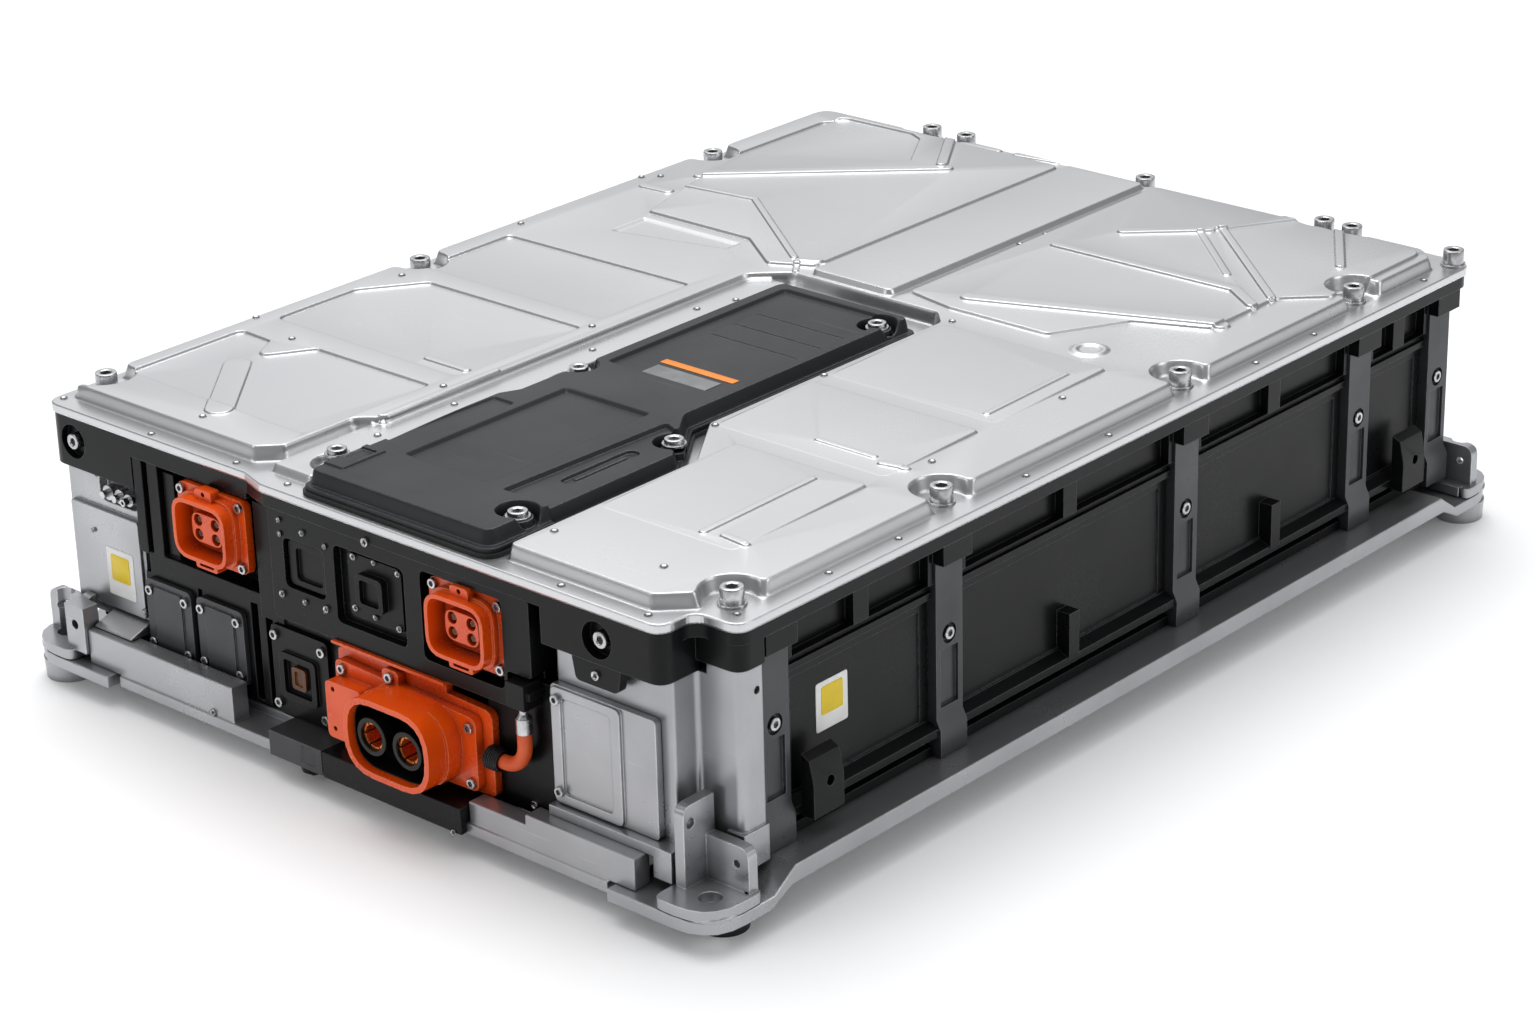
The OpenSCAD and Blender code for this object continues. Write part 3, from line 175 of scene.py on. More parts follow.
@dataclass(frozen=True)
class Finish:
    """How a surface looks: colour, gloss, grain, edge wear mixed with a painted highlight, and painted shade in
    crevices. Lengths are in millimetres, counts per metre.
    """

    base: RGB
    drift: RGB
    metallic: float = 0.0
    rough: float = 0.42
    rough_drift: float = 0.08
    clouds: float = 9.0
    grain: float = 1500.0
    grain_depth: float = 0.012
    wave: float = 0.0
    waves: float = 22.0
    scratches: float = 0.0
    scratch: RGB = (0.5, 0.5, 0.5)
    scratch_runs: tuple[Point, ...] = ((0.35, 1.0), (-0.8, 1.3), (1.35, 0.8))
    # Edge colour and its amount: partly edge wear, partly a painted highlight along the edges.
    rim_wear_highlight: RGB = (0.5, 0.5, 0.5)
    rim_wear_highlight_amount: float = 0.0
    edge: float = 0.7
    # Painted shade in crevices: how much, how far it reaches, and how dark.
    painted_shade: float = 0.0
    painted_shade_reach: float = 12.0
    shade: float = 0.16
    specular: float = 0.5
    rim_wear_highlight_turn: Point = (0.99, 0.88)
    scratch_stretch: Point = (9.0, 420.0)
    scratch_band: Point = (0.735, 0.80)
    scratch_gloss: float = -0.12
    painted_shade_band: Point = (0.15, 0.75)

    def material(self, name: str) -> bpy.types.Material:
        """Builds the material.

        Args:
            name: name of the material.

        Returns:
            A material of procedural nodes.
        """
        material = bpy.data.materials.new(name)
        material.use_nodes = True
        sheet = NodeSheet(material.node_tree)
        place = sheet.add("TexCoord").outputs["Object"]
        cloud = sheet.spread(sheet.noise(place, self.clouds, 4.0), 0.3, 0.7)
        fine = sheet.noise(place, self.grain, 1.0)
        speck = sheet.noise(place, self.grain / 7, 3.0)
        colour = sheet.mix(cloud, self.base, self.drift)
        smoothest, roughest = self.rough - self.rough_drift, self.rough + self.rough_drift
        rough = sheet.spread(sheet.math("ADD", cloud, speck), 0.3, 1.7, smoothest, roughest)
        bevel = sheet.add("Bevel", {"Radius": self.edge * MM}, samples=4)
        # Edges where the bevel normal turns away from the shading normal are lightened towards the edge colour:
        # partly edge wear, partly a painted highlight.
        if self.rim_wear_highlight_amount:
            shading = sheet.add("NewGeometry").outputs["Normal"]
            facing = {0: bevel.outputs[0], 1: shading}
            turn = sheet.add("VectorMath", facing, operation="DOT_PRODUCT").outputs["Value"]
            patchy = sheet.spread(speck, 0.3, 0.6, 0.5, 1.0)
            rim_wear_highlight = sheet.math("MULTIPLY", sheet.spread(turn, *self.rim_wear_highlight_turn, 0.0, self.rim_wear_highlight_amount), patchy)
            colour = sheet.mix(rim_wear_highlight, colour, self.rim_wear_highlight)
        if self.scratches:
            along, across = self.scratch_stretch
            for turn, count in self.scratch_runs:
                runs = {"Vector": place, "Rotation": (0.3, 0.2, turn), "Scale": (along * count, across, across)}
                line = sheet.noise(sheet.add("Mapping", runs).outputs[0], 1.0, 1.5)
                mark = sheet.spread(line, *self.scratch_band, 0.0, self.scratches)
                colour = sheet.mix(mark, colour, self.scratch)
                rough = sheet.math("ADD", rough, sheet.math("MULTIPLY", mark, self.scratch_gloss))
        # Darkens towards the shade colour where ambient occlusion finds close surfaces: painted shade in
        # crevices and recesses.
        if self.painted_shade:
            reach = {"Distance": self.painted_shade_reach * MM}
            open_sky = sheet.add("AmbientOcclusion", reach, samples=6).outputs["AO"]
            shade = tuple(c * self.shade for c in self.base)
            painted_shade_mask = sheet.spread(open_sky, *self.painted_shade_band, self.painted_shade, 0.0)
            colour = sheet.mix(painted_shade_mask, colour, shade)
        height = sheet.math("MULTIPLY", fine, self.grain_depth)
        if self.wave:
            swell = sheet.math("MULTIPLY", sheet.noise(place, self.waves, 1.0), self.wave)
            height = sheet.math("ADD", height, swell)
        bump = sheet.add("Bump", {
            "Height": height, "Normal": bevel.outputs[0], "Distance": MM, "Strength": 1.0,
        })
        shader = sheet.add("BsdfPrincipled", {
            "Base Color": colour, "Roughness": rough, "Normal": bump.outputs[0], "Metallic": self.metallic,
            "Specular IOR Level": self.specular,
        })
        sheet.add("OutputMaterial", {"Surface": shader.outputs[0]})
        return material


# In each finish the edge colour is partly wear and partly a painted highlight, and the darkening in crevices is
# painted shade.
FINISHES = {
    Slot.COVER: Finish(
        base=srgb(212, 213, 214), drift=srgb(202, 203, 205), metallic=1.0, rough=0.30, rough_drift=0.04,
        clouds=5.0, grain=1700, grain_depth=0.005, wave=0.03, waves=14.0, scratches=0.18,
        scratch=srgb(238, 238, 240), rim_wear_highlight=srgb(254, 254, 255), rim_wear_highlight_amount=0.75, edge=1.2, painted_shade=0.6,
        painted_shade_reach=7.0,
    ),
    Slot.CAST: Finish(
        base=srgb(182, 183, 186), drift=srgb(162, 163, 166), metallic=0.8, rough=0.30, rough_drift=0.05,
        clouds=10.0, grain=1100, grain_depth=0.010, wave=0.02, waves=40.0, scratches=0.2,
        scratch=srgb(232, 232, 234), rim_wear_highlight=srgb(252, 252, 254), rim_wear_highlight_amount=0.8, edge=1.2, painted_shade=0.75,
        painted_shade_reach=12.0,
    ),
    Slot.BLACK_CAST: Finish(
        base=srgb(20, 21, 22), drift=srgb(14, 15, 16), metallic=0.0, rough=0.30, rough_drift=0.07,
        clouds=12.0, grain=1100, grain_depth=0.016, wave=0.02, waves=50.0, scratches=0.07,
        scratch=srgb(80, 81, 84), rim_wear_highlight=srgb(128, 130, 134), rim_wear_highlight_amount=0.7, edge=0.9, painted_shade=0.9, painted_shade_reach=26.0,
        specular=0.18,
    ),
    Slot.DARK_STEEL: Finish(
        base=srgb(72, 73, 75), drift=srgb(58, 59, 61), metallic=0.4, rough=0.34, rough_drift=0.08,
        clouds=14.0, grain=1000, grain_depth=0.014, wave=0.02, waves=50.0, scratches=0.14,
        scratch=srgb(130, 131, 134), rim_wear_highlight=srgb(150, 152, 156), rim_wear_highlight_amount=0.7, edge=0.9, painted_shade=0.6,
    ),
    Slot.SERVICE: Finish(
        base=srgb(52, 53, 56), drift=srgb(42, 43, 46), metallic=0.0, rough=0.33, rough_drift=0.05,
        clouds=9.0, grain=1600, grain_depth=0.01, wave=0.02, waves=30.0, scratches=0.12,
        scratch=srgb(120, 121, 124), rim_wear_highlight=srgb(176, 178, 182), rim_wear_highlight_amount=0.9, edge=1.1, painted_shade=0.9,
        painted_shade_reach=16.0, specular=0.16,
    ),
    Slot.BLACK_PLASTIC: Finish(
        base=srgb(22, 22, 24), drift=srgb(16, 16, 18), metallic=0.0, rough=0.34, rough_drift=0.07,
        clouds=20.0, grain=2200, grain_depth=0.008, rim_wear_highlight=srgb(120, 121, 124), rim_wear_highlight_amount=0.7, edge=0.6, painted_shade=0.8,
        painted_shade_reach=20.0, specular=0.2,
    ),
    Slot.RING: Finish(
        base=srgb(10, 10, 10), drift=srgb(16, 15, 14), metallic=0.0, rough=0.24, rough_drift=0.04,
        clouds=30.0, grain=2600, grain_depth=0.004, rim_wear_highlight=srgb(80, 80, 82), rim_wear_highlight_amount=0.4, edge=0.5, specular=0.25,
        painted_shade=0.6,
    ),
    Slot.ORANGE: Finish(
        base=srgb(242, 86, 10), drift=srgb(228, 72, 6), metallic=0.0, rough=0.26, rough_drift=0.06,
        clouds=26.0, grain=2400, grain_depth=0.006, wave=0.01, waves=90.0, rim_wear_highlight=srgb(255, 164, 96), rim_wear_highlight_amount=0.8,
        edge=0.9, painted_shade=0.85, painted_shade_reach=16.0, specular=0.6,
    ),
    Slot.LEAD: Finish(
        base=srgb(232, 96, 40), drift=srgb(212, 78, 28), metallic=0.0, rough=0.46, rough_drift=0.08,
        clouds=60.0, grain=3000, grain_depth=0.02, wave=0.03, waves=260.0, rim_wear_highlight=srgb(244, 150, 100),
        rim_wear_highlight_amount=0.2, edge=0.5, painted_shade=0.4,
    ),
    Slot.CONTACT: Finish(
        base=srgb(238, 140, 66), drift=srgb(206, 100, 44), metallic=0.8, rough=0.28, rough_drift=0.08,
        clouds=120.0, grain=3200, grain_depth=0.004, rim_wear_highlight=srgb(255, 206, 150), rim_wear_highlight_amount=0.5, edge=0.4,
    ),
    Slot.FASTENER: Finish(
        base=srgb(206, 206, 207), drift=srgb(170, 170, 172), metallic=1.0, rough=0.26, rough_drift=0.08,
        clouds=120.0, grain=2600, grain_depth=0.008, scratches=0.3, scratch=srgb(225, 225, 226),
        rim_wear_highlight=srgb(235, 235, 237), rim_wear_highlight_amount=0.8, edge=0.5, painted_shade=0.8, painted_shade_reach=5.0,
    ),
    Slot.SEAL: Finish(
        base=srgb(24, 24, 25), drift=srgb(18, 18, 19), metallic=0.0, rough=0.62, rough_drift=0.06,
        clouds=30.0, grain=1800, grain_depth=0.02, edge=0.5,
    ),
    Slot.MODULE: Finish(
        base=srgb(96, 98, 102), drift=srgb(84, 86, 90), metallic=0.0, rough=0.5, rough_drift=0.06,
        clouds=12.0, grain=1500, grain_depth=0.01, edge=0.9,
    ),
    Slot.BOARD: Finish(
        base=srgb(22, 84, 44), drift=srgb(18, 70, 38), metallic=0.0, rough=0.4, rough_drift=0.06,
        clouds=60.0, grain=2600, grain_depth=0.01, edge=0.4,
    ),
    Slot.FUSE: Finish(
        base=srgb(226, 220, 204), drift=srgb(212, 205, 188), metallic=0.0, rough=0.35, rough_drift=0.05,
        clouds=40.0, grain=2200, grain_depth=0.008, edge=0.6,
    ),
}

LABEL_YELLOW = Finish(
    base=srgb(236, 206, 24), drift=srgb(228, 196, 18), metallic=0.0, rough=0.38, rough_drift=0.05,
    clouds=60.0, grain=2600, grain_depth=0.004, edge=0.3,
)
LABEL_PALE = Finish(
    base=srgb(240, 240, 238), drift=srgb(228, 228, 226), metallic=0.0, rough=0.4, rough_drift=0.05,
    clouds=60.0, grain=2600, grain_depth=0.004, edge=0.3,
)
LABEL_ORANGE = Finish(
    base=srgb(240, 140, 20), drift=srgb(228, 126, 14), metallic=0.0, rough=0.42, rough_drift=0.05,
    clouds=60.0, grain=2600, grain_depth=0.004, edge=0.3,
)
LABEL_GREY = Finish(
    base=srgb(132, 133, 134), drift=srgb(112, 113, 114), metallic=0.0, rough=0.5, rough_drift=0.05,
    clouds=60.0, grain=2600, grain_depth=0.004, edge=0.3,
)
# The dark base is a painted shadow of the socket holes on the copper pins; the light edge colour is a painted
# highlight.
PIN_PAINTED_SHADOW = Finish(
    base=srgb(96, 32, 12), drift=srgb(70, 24, 10), metallic=0.0, rough=0.4, rough_drift=0.05, clouds=60.0,
    grain=2600, grain_depth=0.004, rim_wear_highlight=srgb(255, 176, 120), rim_wear_highlight_amount=1.0, edge=0.7,
)
# Its light edge colour makes painted glints along the seal's edges.
SEAL_AMBER = Finish(
    base=srgb(104, 56, 20), drift=srgb(60, 36, 18), metallic=0.0, rough=0.36, rough_drift=0.05, clouds=160.0,
    grain=2600, grain_depth=0.004, rim_wear_highlight=srgb(236, 150, 60), rim_wear_highlight_amount=0.9, edge=0.5,
)


class Paintbox:
    """Makes each finish's material once and hands it out."""

    def __init__(self) -> None:
        """Starts with no material made."""
        self.made: dict[str, bpy.types.Material] = {}

    def of(self, slot: Slot) -> bpy.types.Material:
        """Material of a record slot."""
        return self.named(slot.value, FINISHES[slot])

    def named(self, name: str, finish: Finish) -> bpy.types.Material:
        """Material of a finish by name, made on first use.

        Args:
            name: name of the material.
            finish: how it looks.

        Returns:
            The material.
        """
        if name not in self.made:
            self.made[name] = finish.material(name)
        return self.made[name]


PAINT = Paintbox()


# ---------------------------------------------------------------- pieces


def settle(piece: bpy.types.Object, stands_for: tuple[str, ...] = ()) -> bpy.types.Object:
    """Puts a finished piece on the pack's one body.

    Args:
        piece: the piece, in place.
        stands_for: CAD nodes that it replaces.

    Returns:
        The piece.
    """
    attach(piece, "root")
    if stands_for:
        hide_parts(*stands_for)
    log.info("%s: %d faces", piece.name, len(piece.data.polygons))
    return piece


def link(name: str, mesh: bpy.types.Mesh, material: bpy.types.Material) -> bpy.types.Object:
    """New object of a mesh and a material in the scene.

    Args:
        name: name of the object.
        mesh: its mesh.
        material: its one material.

    Returns:
        The object.
    """
    mesh.materials.clear()
    mesh.materials.append(material)
    piece = bpy.data.objects.new(name, mesh)
    bpy.context.scene.collection.objects.link(piece)
    return piece


def soften(piece: bpy.types.Object, width: float, segments: int = 2, angle: float = 35.0) -> None:
    """Rounds a piece's edges for good: bevel, smooth shading and weighted normals.

    Args:
        piece: the piece.
        width: width of the rounding in metres.
        segments: facets across the rounding.
        angle: edges sharper than this many degrees are rounded.
    """
    bevel = piece.modifiers.new("edges", "BEVEL")
    bevel.width, bevel.segments = width, segments
    bevel.limit_method, bevel.angle_limit = "ANGLE", math.radians(angle)
    bevel.use_clamp_overlap, bevel.harden_normals = True, False
    bevel.miter_outer = "MITER_ARC"
    for polygon in piece.data.polygons:
        polygon.use_smooth = True
    weighted = piece.modifiers.new("normals", "WEIGHTED_NORMAL")
    weighted.keep_sharp, weighted.weight = True, 80
    bake_modifiers(piece)


def bake_modifiers(piece: bpy.types.Object) -> None:
    """Replaces a piece's mesh by what its modifiers make of it.

    Args:
        piece: the piece.
    """
    bpy.context.view_layer.update()
    shape = piece.evaluated_get(bpy.context.evaluated_depsgraph_get())
    mesh = bpy.data.meshes.new_from_object(shape)
    piece.modifiers.clear()
    piece.data = mesh


@dataclass(frozen=True)
class RoundedNode:
    """A CAD node with its edges rounded, which takes the node's place. Lengths are in millimetres."""

    node: str
    width: float
    slot: Slot
    segments: int = 2
    join_within: float = 0.02
    flat_angle: float = 1.2

    def build(self) -> bpy.types.Object:
        """Copies the node's mesh, joins its flat faces and rounds its edges.

        Returns:
            The piece.
        """
        mesh = frame["nodes"][self.node].data.copy()
        shape = bmesh.new()
        shape.from_mesh(mesh)
        bmesh.ops.remove_doubles(shape, verts=shape.verts, dist=self.join_within * MM)
        flat = math.radians(self.flat_angle)
        bmesh.ops.dissolve_limit(shape, angle_limit=flat, verts=shape.verts, edges=shape.edges)
        shape.to_mesh(mesh)
        shape.free()
        for name in [a.name for a in mesh.attributes if a.name == "custom_normal"]:
            mesh.attributes.remove(mesh.attributes[name])
        piece = link("round_" + self.node, mesh, PAINT.of(self.slot))
        soften(piece, self.width * MM, self.segments)
        return settle(piece, (self.node,))


# ---------------------------------------------------------------- pressed sheets


def arc_outline(corners: tuple[Corner, ...], steps: int = 7) -> np.ndarray:
    """Points of an outline with rounded corners.

    Args:
        corners: (u, v, radius) of each corner, anticlockwise.
        steps: pieces in each corner's curve.

    Returns:
        An array of points.
    """
    points = []
    for i, (u, v, radius) in enumerate(corners):
        here = np.array((u, v))
        back = np.array(corners[i - 1][:2]) - here
        ahead = np.array(corners[(i + 1) % len(corners)][:2]) - here
        back, ahead = back / np.linalg.norm(back), ahead / np.linalg.norm(ahead)
        half = math.acos(float(np.clip(back @ ahead, -1, 1))) / 2
        run = radius / math.tan(half)
        for t in np.linspace(0, 1, steps + 1):
            points.append(here + back * run * (1 - t) ** 2 + ahead * run * t * t)
    return np.array(points)


def outline_distance(points: np.ndarray, outline: np.ndarray) -> np.ndarray:
    """Distance from points to a closed outline.

    Args:
        points: array of (u, v).
        outline: the outline's points, in order.

    Returns:
        The distances, positive inside and negative outside.
    """
    best = np.full(len(points), 1e18)
    inside = np.zeros(len(points), bool)
    x, y = points[:, 0], points[:, 1]
    for a, b in zip(outline, np.roll(outline, -1, axis=0)):
        edge = b - a
        length = float(edge @ edge)
        if length < 1e-12:
            continue
        t = np.clip(((x - a[0]) * edge[0] + (y - a[1]) * edge[1]) / length, 0, 1)
        best = np.minimum(best, (x - a[0] - t * edge[0]) ** 2 + (y - a[1] - t * edge[1]) ** 2)
        if a[1] != b[1]:
            inside ^= ((a[1] > y) != (b[1] > y)) & (x < (b[0] - a[0]) * (y - a[1]) / (b[1] - a[1]) + a[0])
    return np.where(inside, 1, -1) * np.sqrt(best)


def line_distance(points: np.ndarray, line: tuple[Point, ...]) -> np.ndarray:
    """Distance from points to an open line of straight pieces.

    Args:
        points: array of (u, v).
        line: the line's points, in order.

    Returns:
        The distances.
    """
    best = np.full(len(points), 1e18)
    for a, b in zip(np.array(line[:-1], float), np.array(line[1:], float)):
        edge = b - a
        t = np.clip(((points - a) @ edge) / max(float(edge @ edge), 1e-9), 0, 1)
        best = np.minimum(best, ((points - a - t[:, None] * edge) ** 2).sum(1))
    return np.sqrt(best)


def rounded_ramp(share: np.ndarray, ease: float) -> np.ndarray:
    """Rise from 0 to 1 with a rounded foot and crest.

    Args:
        share: how far along the ramp, 0 to 1.
        ease: part of the ramp that each rounding takes.

    Returns:
        The height as a share of the whole.
    """
    t = np.clip(share, 0, 1)
    foot = t * t / (2 * ease * (1 - ease))
    crest = 1 - (1 - t) ** 2 / (2 * ease * (1 - ease))
    return np.where(t < ease, foot, np.where(t > 1 - ease, crest, (t - ease / 2) / (1 - ease)))


@dataclass(frozen=True)
class Relief:
    """One raised or sunken form of a pressed sheet: an area inside corners, or a bead along a line.

    Lengths are in millimetres. levels are the shares of the ramp at which the mesh has a line of points.
    """

    height: float
    run: float = 6.0
    corners: tuple[Corner, ...] = ()
    line: tuple[Point, ...] = ()
    width: float = 10.0
    keep_off: tuple[Corner, ...] = ()
    blend: float = 7.0
    ease: float = 0.32
    fade: tuple[float, float, float, float] = ()
    levels: tuple[float, ...] = (0.0, 0.16, 0.32, 0.5, 0.68, 0.84, 1.0)
    margin: float = 2.0

    def distance(self, points: np.ndarray) -> np.ndarray:
        """Distance inside the form's foot.

        Args:
            points: array of (u, v).

        Returns:
            The distances in millimetres, negative outside the foot.
        """
        if self.line:
            inner = self.width / 2 - line_distance(points, self.line)
        else:
            inner = outline_distance(points, arc_outline(self.corners))
        for u, v, radius in self.keep_off:
            away = np.hypot(points[:, 0] - u, points[:, 1] - v) - radius
            share = np.clip(0.5 + 0.5 * (away - inner) / self.blend, 0, 1)
            inner = away * (1 - share) + inner * share - self.blend * share * (1 - share)
        return inner

    def lift(self, points: np.ndarray) -> np.ndarray:
        """Height that the form adds at points.

        Args:
            points: array of (u, v).

        Returns:
            The heights in millimetres.
        """
        rise = self.height * rounded_ramp(self.distance(points) / self.run, self.ease)
        if self.fade:
            start, end = np.array(self.fade[:2]), np.array(self.fade[2:])
            t = np.clip(((points - start) @ (end - start)) / float((end - start) @ (end - start)), 0, 1)
            rise = rise * t * t * (3 - 2 * t)
        return rise

    def reach(self) -> tuple[float, float, float, float]:
        """Box round the form.

        Returns:
            Its lowest u and v, then its highest u and v.
        """
        spots = np.array([c[:2] for c in self.corners or self.line], float)
        pad = self.width / 2 + self.margin if self.line else self.margin
        return (*(spots.min(0) - pad), *(spots.max(0) + pad))


def trace_level(field_values: np.ndarray, us: np.ndarray, vs: np.ndarray, level: float) -> list[np.ndarray]:
    """Lines along which a grid of values meets a level, by marching squares.

    Args:
        field_values: values at the grid's points, one row for each v.
        us: the columns' u.
        vs: the rows' v.
        level: the level.

    Returns:
        The lines, each an array of points.
    """
    grid = field_values - level
    grid = np.where(np.abs(grid) < 1e-7, 1e-7, grid)
    sign = grid > 0
    case = sign[:-1, :-1] * 1 + sign[:-1, 1:] * 2 + sign[1:, 1:] * 4 + sign[1:, :-1] * 8
    steps: dict[tuple, list[tuple]] = {}
    spots: dict[tuple, tuple[float, float]] = {}

    def cut(j: int, i: int, upright: bool) -> tuple:
        """Crossing on one side of a cell.

        Args:
            j: row of the side's start.
            i: column of the side's start.
            upright: whether the side runs along v.

        Returns:
            The crossing's key in spots.
        """
        key = (j, i, upright)
        if key not in spots:
            j2, i2 = (j + 1, i) if upright else (j, i + 1)
            t = grid[j, i] / (grid[j, i] - grid[j2, i2])
            spots[key] = (us[i] + (us[i2] - us[i]) * t, vs[j] + (vs[j2] - vs[j]) * t)
        return key

    pairs = {
        1: ((3, 0),), 2: ((0, 1),), 3: ((3, 1),), 4: ((1, 2),), 5: ((3, 2), (1, 0)), 6: ((0, 2),),
        7: ((3, 2),), 8: ((2, 3),), 9: ((2, 0),), 10: ((0, 3), (2, 1)), 11: ((2, 1),), 12: ((1, 3),),
        13: ((1, 0),), 14: ((0, 3),),
    }
    for j, i in zip(*np.nonzero((case > 0) & (case < 15))):
        sides = {0: (j, i, False), 1: (j, i + 1, True), 2: (j + 1, i, False), 3: (j, i, True)}
        for a, b in pairs[int(case[j, i])]:
            one, two = cut(*sides[a]), cut(*sides[b])
            steps.setdefault(one, []).append(two)
            steps.setdefault(two, []).append(one)
    lines = []
    while steps:
        start = next((k for k, v in steps.items() if len(v) == 1), None) or next(iter(steps))
        line, here = [start], start
        while steps.get(here):
            ahead = steps[here].pop()
            steps[ahead].remove(here)
            if not steps[here]:
                del steps[here]
            line.append(ahead)
            here = ahead
        steps = {k: v for k, v in steps.items() if v}
        lines.append(np.array([spots[k] for k in line]))
    return lines


def thin_line(line: np.ndarray, slack: float) -> np.ndarray:
    """Thins a line out.

    Args:
        line: the line's points.
        slack: how far the thinned line may lie from a point that is left out.

    Returns:
        The points that stay.
    """
    keep = np.zeros(len(line), bool)
    keep[[0, -1]] = True
    spans = [(0, len(line) - 1)]
    if len(line) > 3 and np.allclose(line[0], line[-1]):
        far = int(np.argmax(((line - line[0]) ** 2).sum(1)))
        keep[far] = True
        spans = [(0, far), (far, len(line) - 1)]
    while spans:
        a, b = spans.pop()
        if b - a < 2:
            continue
        chord = line[b] - line[a]
        size = max(float(np.hypot(*chord)), 1e-9)
        reach = line[a + 1:b] - line[a]
        off = np.abs(reach[:, 0] * chord[1] - reach[:, 1] * chord[0]) / size
        worst = int(np.argmax(off))
        if off[worst] > slack:
            keep[a + 1 + worst] = True
            spans += [(a, a + 1 + worst), (a + 1 + worst, b)]
    return line[keep]


@dataclass
class PressedSheet:
    """A sheet pressed into plateaus, pads and beads, as one closed mesh. Lengths are in millimetres."""

    outline: tuple[Corner, ...]
    plateaus: tuple[Relief, ...]
    details: tuple[Relief, ...] = ()
    openings: tuple[tuple[Corner, ...], ...] = ()
    base: float = 0.0
    thickness: float = 3.0
    foot: float = 6.0
    edge: float = 1.2
    grid: float = 1.5
    slack: float = 0.035
    thinning: float = 6.0
    seat: float = 0.0
    probe: float = 0.06
    rim_levels: tuple[float, ...] = (0.12, 0.45, 1.0)
    rim: np.ndarray = field(default=None, init=False)

    def height(self, points: np.ndarray) -> np.ndarray:
        """Height of the sheet's face at points.

        Args:
            points: array of (u, v).

        Returns:
            The heights: the plateaus' highest, with the details added.
        """
        total = np.zeros(len(points))
        for plateau in self.plateaus:
            total = np.maximum(total, plateau.lift(points)) if plateau.blend else total + plateau.lift(points)
        for detail in self.details:
            u0, v0, u1, v1 = detail.reach()
            near = (points[:, 0] > u0) & (points[:, 0] < u1) & (points[:, 1] > v0) & (points[:, 1] < v1)
            if near.any():
                total[near] += detail.lift(points[near])
        inward = np.clip(outline_distance(points, self.rim), 0, self.edge)
        drop = self.edge - np.sqrt(np.maximum(self.edge ** 2 - (self.edge - inward) ** 2, 0))
        return self.base + total - drop

    def slopes(self, points: np.ndarray) -> np.ndarray:
        """Unit normals of the face at points.

        Args:
            points: array of (u, v).

        Returns:
            The normals in (u, v, w).
        """
        du = np.array((self.probe, 0.0))
        dv = np.array((0.0, self.probe))
        along_u = (self.height(points + du) - self.height(points - du)) / (2 * self.probe)
        along_v = (self.height(points + dv) - self.height(points - dv)) / (2 * self.probe)
        normals = np.stack([-along_u, -along_v, np.ones(len(points))], 1)
        return normals / np.linalg.norm(normals, axis=1)[:, None]

    def guide_lines(self) -> list[np.ndarray]:
        """Lines that the mesh has to follow: the levels of every form's ramp.

        Returns:
            The lines as arrays of points.
        """
        lines = []
        for form in (*self.plateaus, *self.details):
            u0, v0, u1, v1 = form.reach()
            us = np.arange(u0, u1 + self.grid, self.grid)
            vs = np.arange(v0, v1 + self.grid, self.grid)
            spots = np.stack(np.meshgrid(us, vs), -1).reshape(-1, 2)
            inner = form.distance(spots).reshape(len(vs), len(us))
            for level in form.levels:
                for line in trace_level(inner, us, vs, level * form.run + 1e-4):
                    if len(line) > 3:
                        lines.append(thin_line(line, self.slack))
        us = np.arange(self.rim[:, 0].min() - 2, self.rim[:, 0].max() + 2, self.grid)
        vs = np.arange(self.rim[:, 1].min() - 2, self.rim[:, 1].max() + 2, self.grid)
        spots = np.stack(np.meshgrid(us, vs), -1).reshape(-1, 2)
        inner = outline_distance(spots, self.rim).reshape(len(vs), len(us))
        for share in self.rim_levels:
            traced = trace_level(inner, us, vs, share * self.edge)
            lines += [thin_line(line, self.slack) for line in traced]
        return lines

    def triangles(self) -> tuple[np.ndarray, np.ndarray]:
        """Flat triangulation of the sheet.

        Returns:
            The points and the triangles as rows of point numbers.
        """
        spots: list[Vector] = []
        edges: list[tuple[int, int]] = []
        rings = [self.rim, *(arc_outline(o) for o in self.openings)]
        for ring in rings:
            start = len(spots)
            spots += [Vector(p) for p in ring]
            edges += [(start + i, start + (i + 1) % len(ring)) for i in range(len(ring))]
        for line in self.guide_lines():
            start = len(spots)
            spots += [Vector(p) for p in line]
            edges += [(start + i, start + i + 1) for i in range(len(line) - 1)]
        result = delaunay_2d_cdt(spots, edges, [], 0, 1e-4, False)
        points = np.array([tuple(p) for p in result[0]])
        faces = np.array([f for f in result[2] if len(f) == 3])
        middle = points[faces].mean(1)
        keep = outline_distance(middle, self.rim) > 0
        for ring in rings[1:]:
            keep &= outline_distance(middle, ring) < 0
        a, b, c = (points[faces[:, k]] for k in range(3))
        along, across = b - a, c - a
        area = along[:, 0] * across[:, 1] - along[:, 1] * across[:, 0]
        keep &= np.abs(area) > 1e-9
        faces = np.where((area > 0)[:, None], faces, faces[:, ::-1])[keep]
        used, faces = np.unique(faces, return_inverse=True)
        return points[used], faces.reshape(-1, 3)

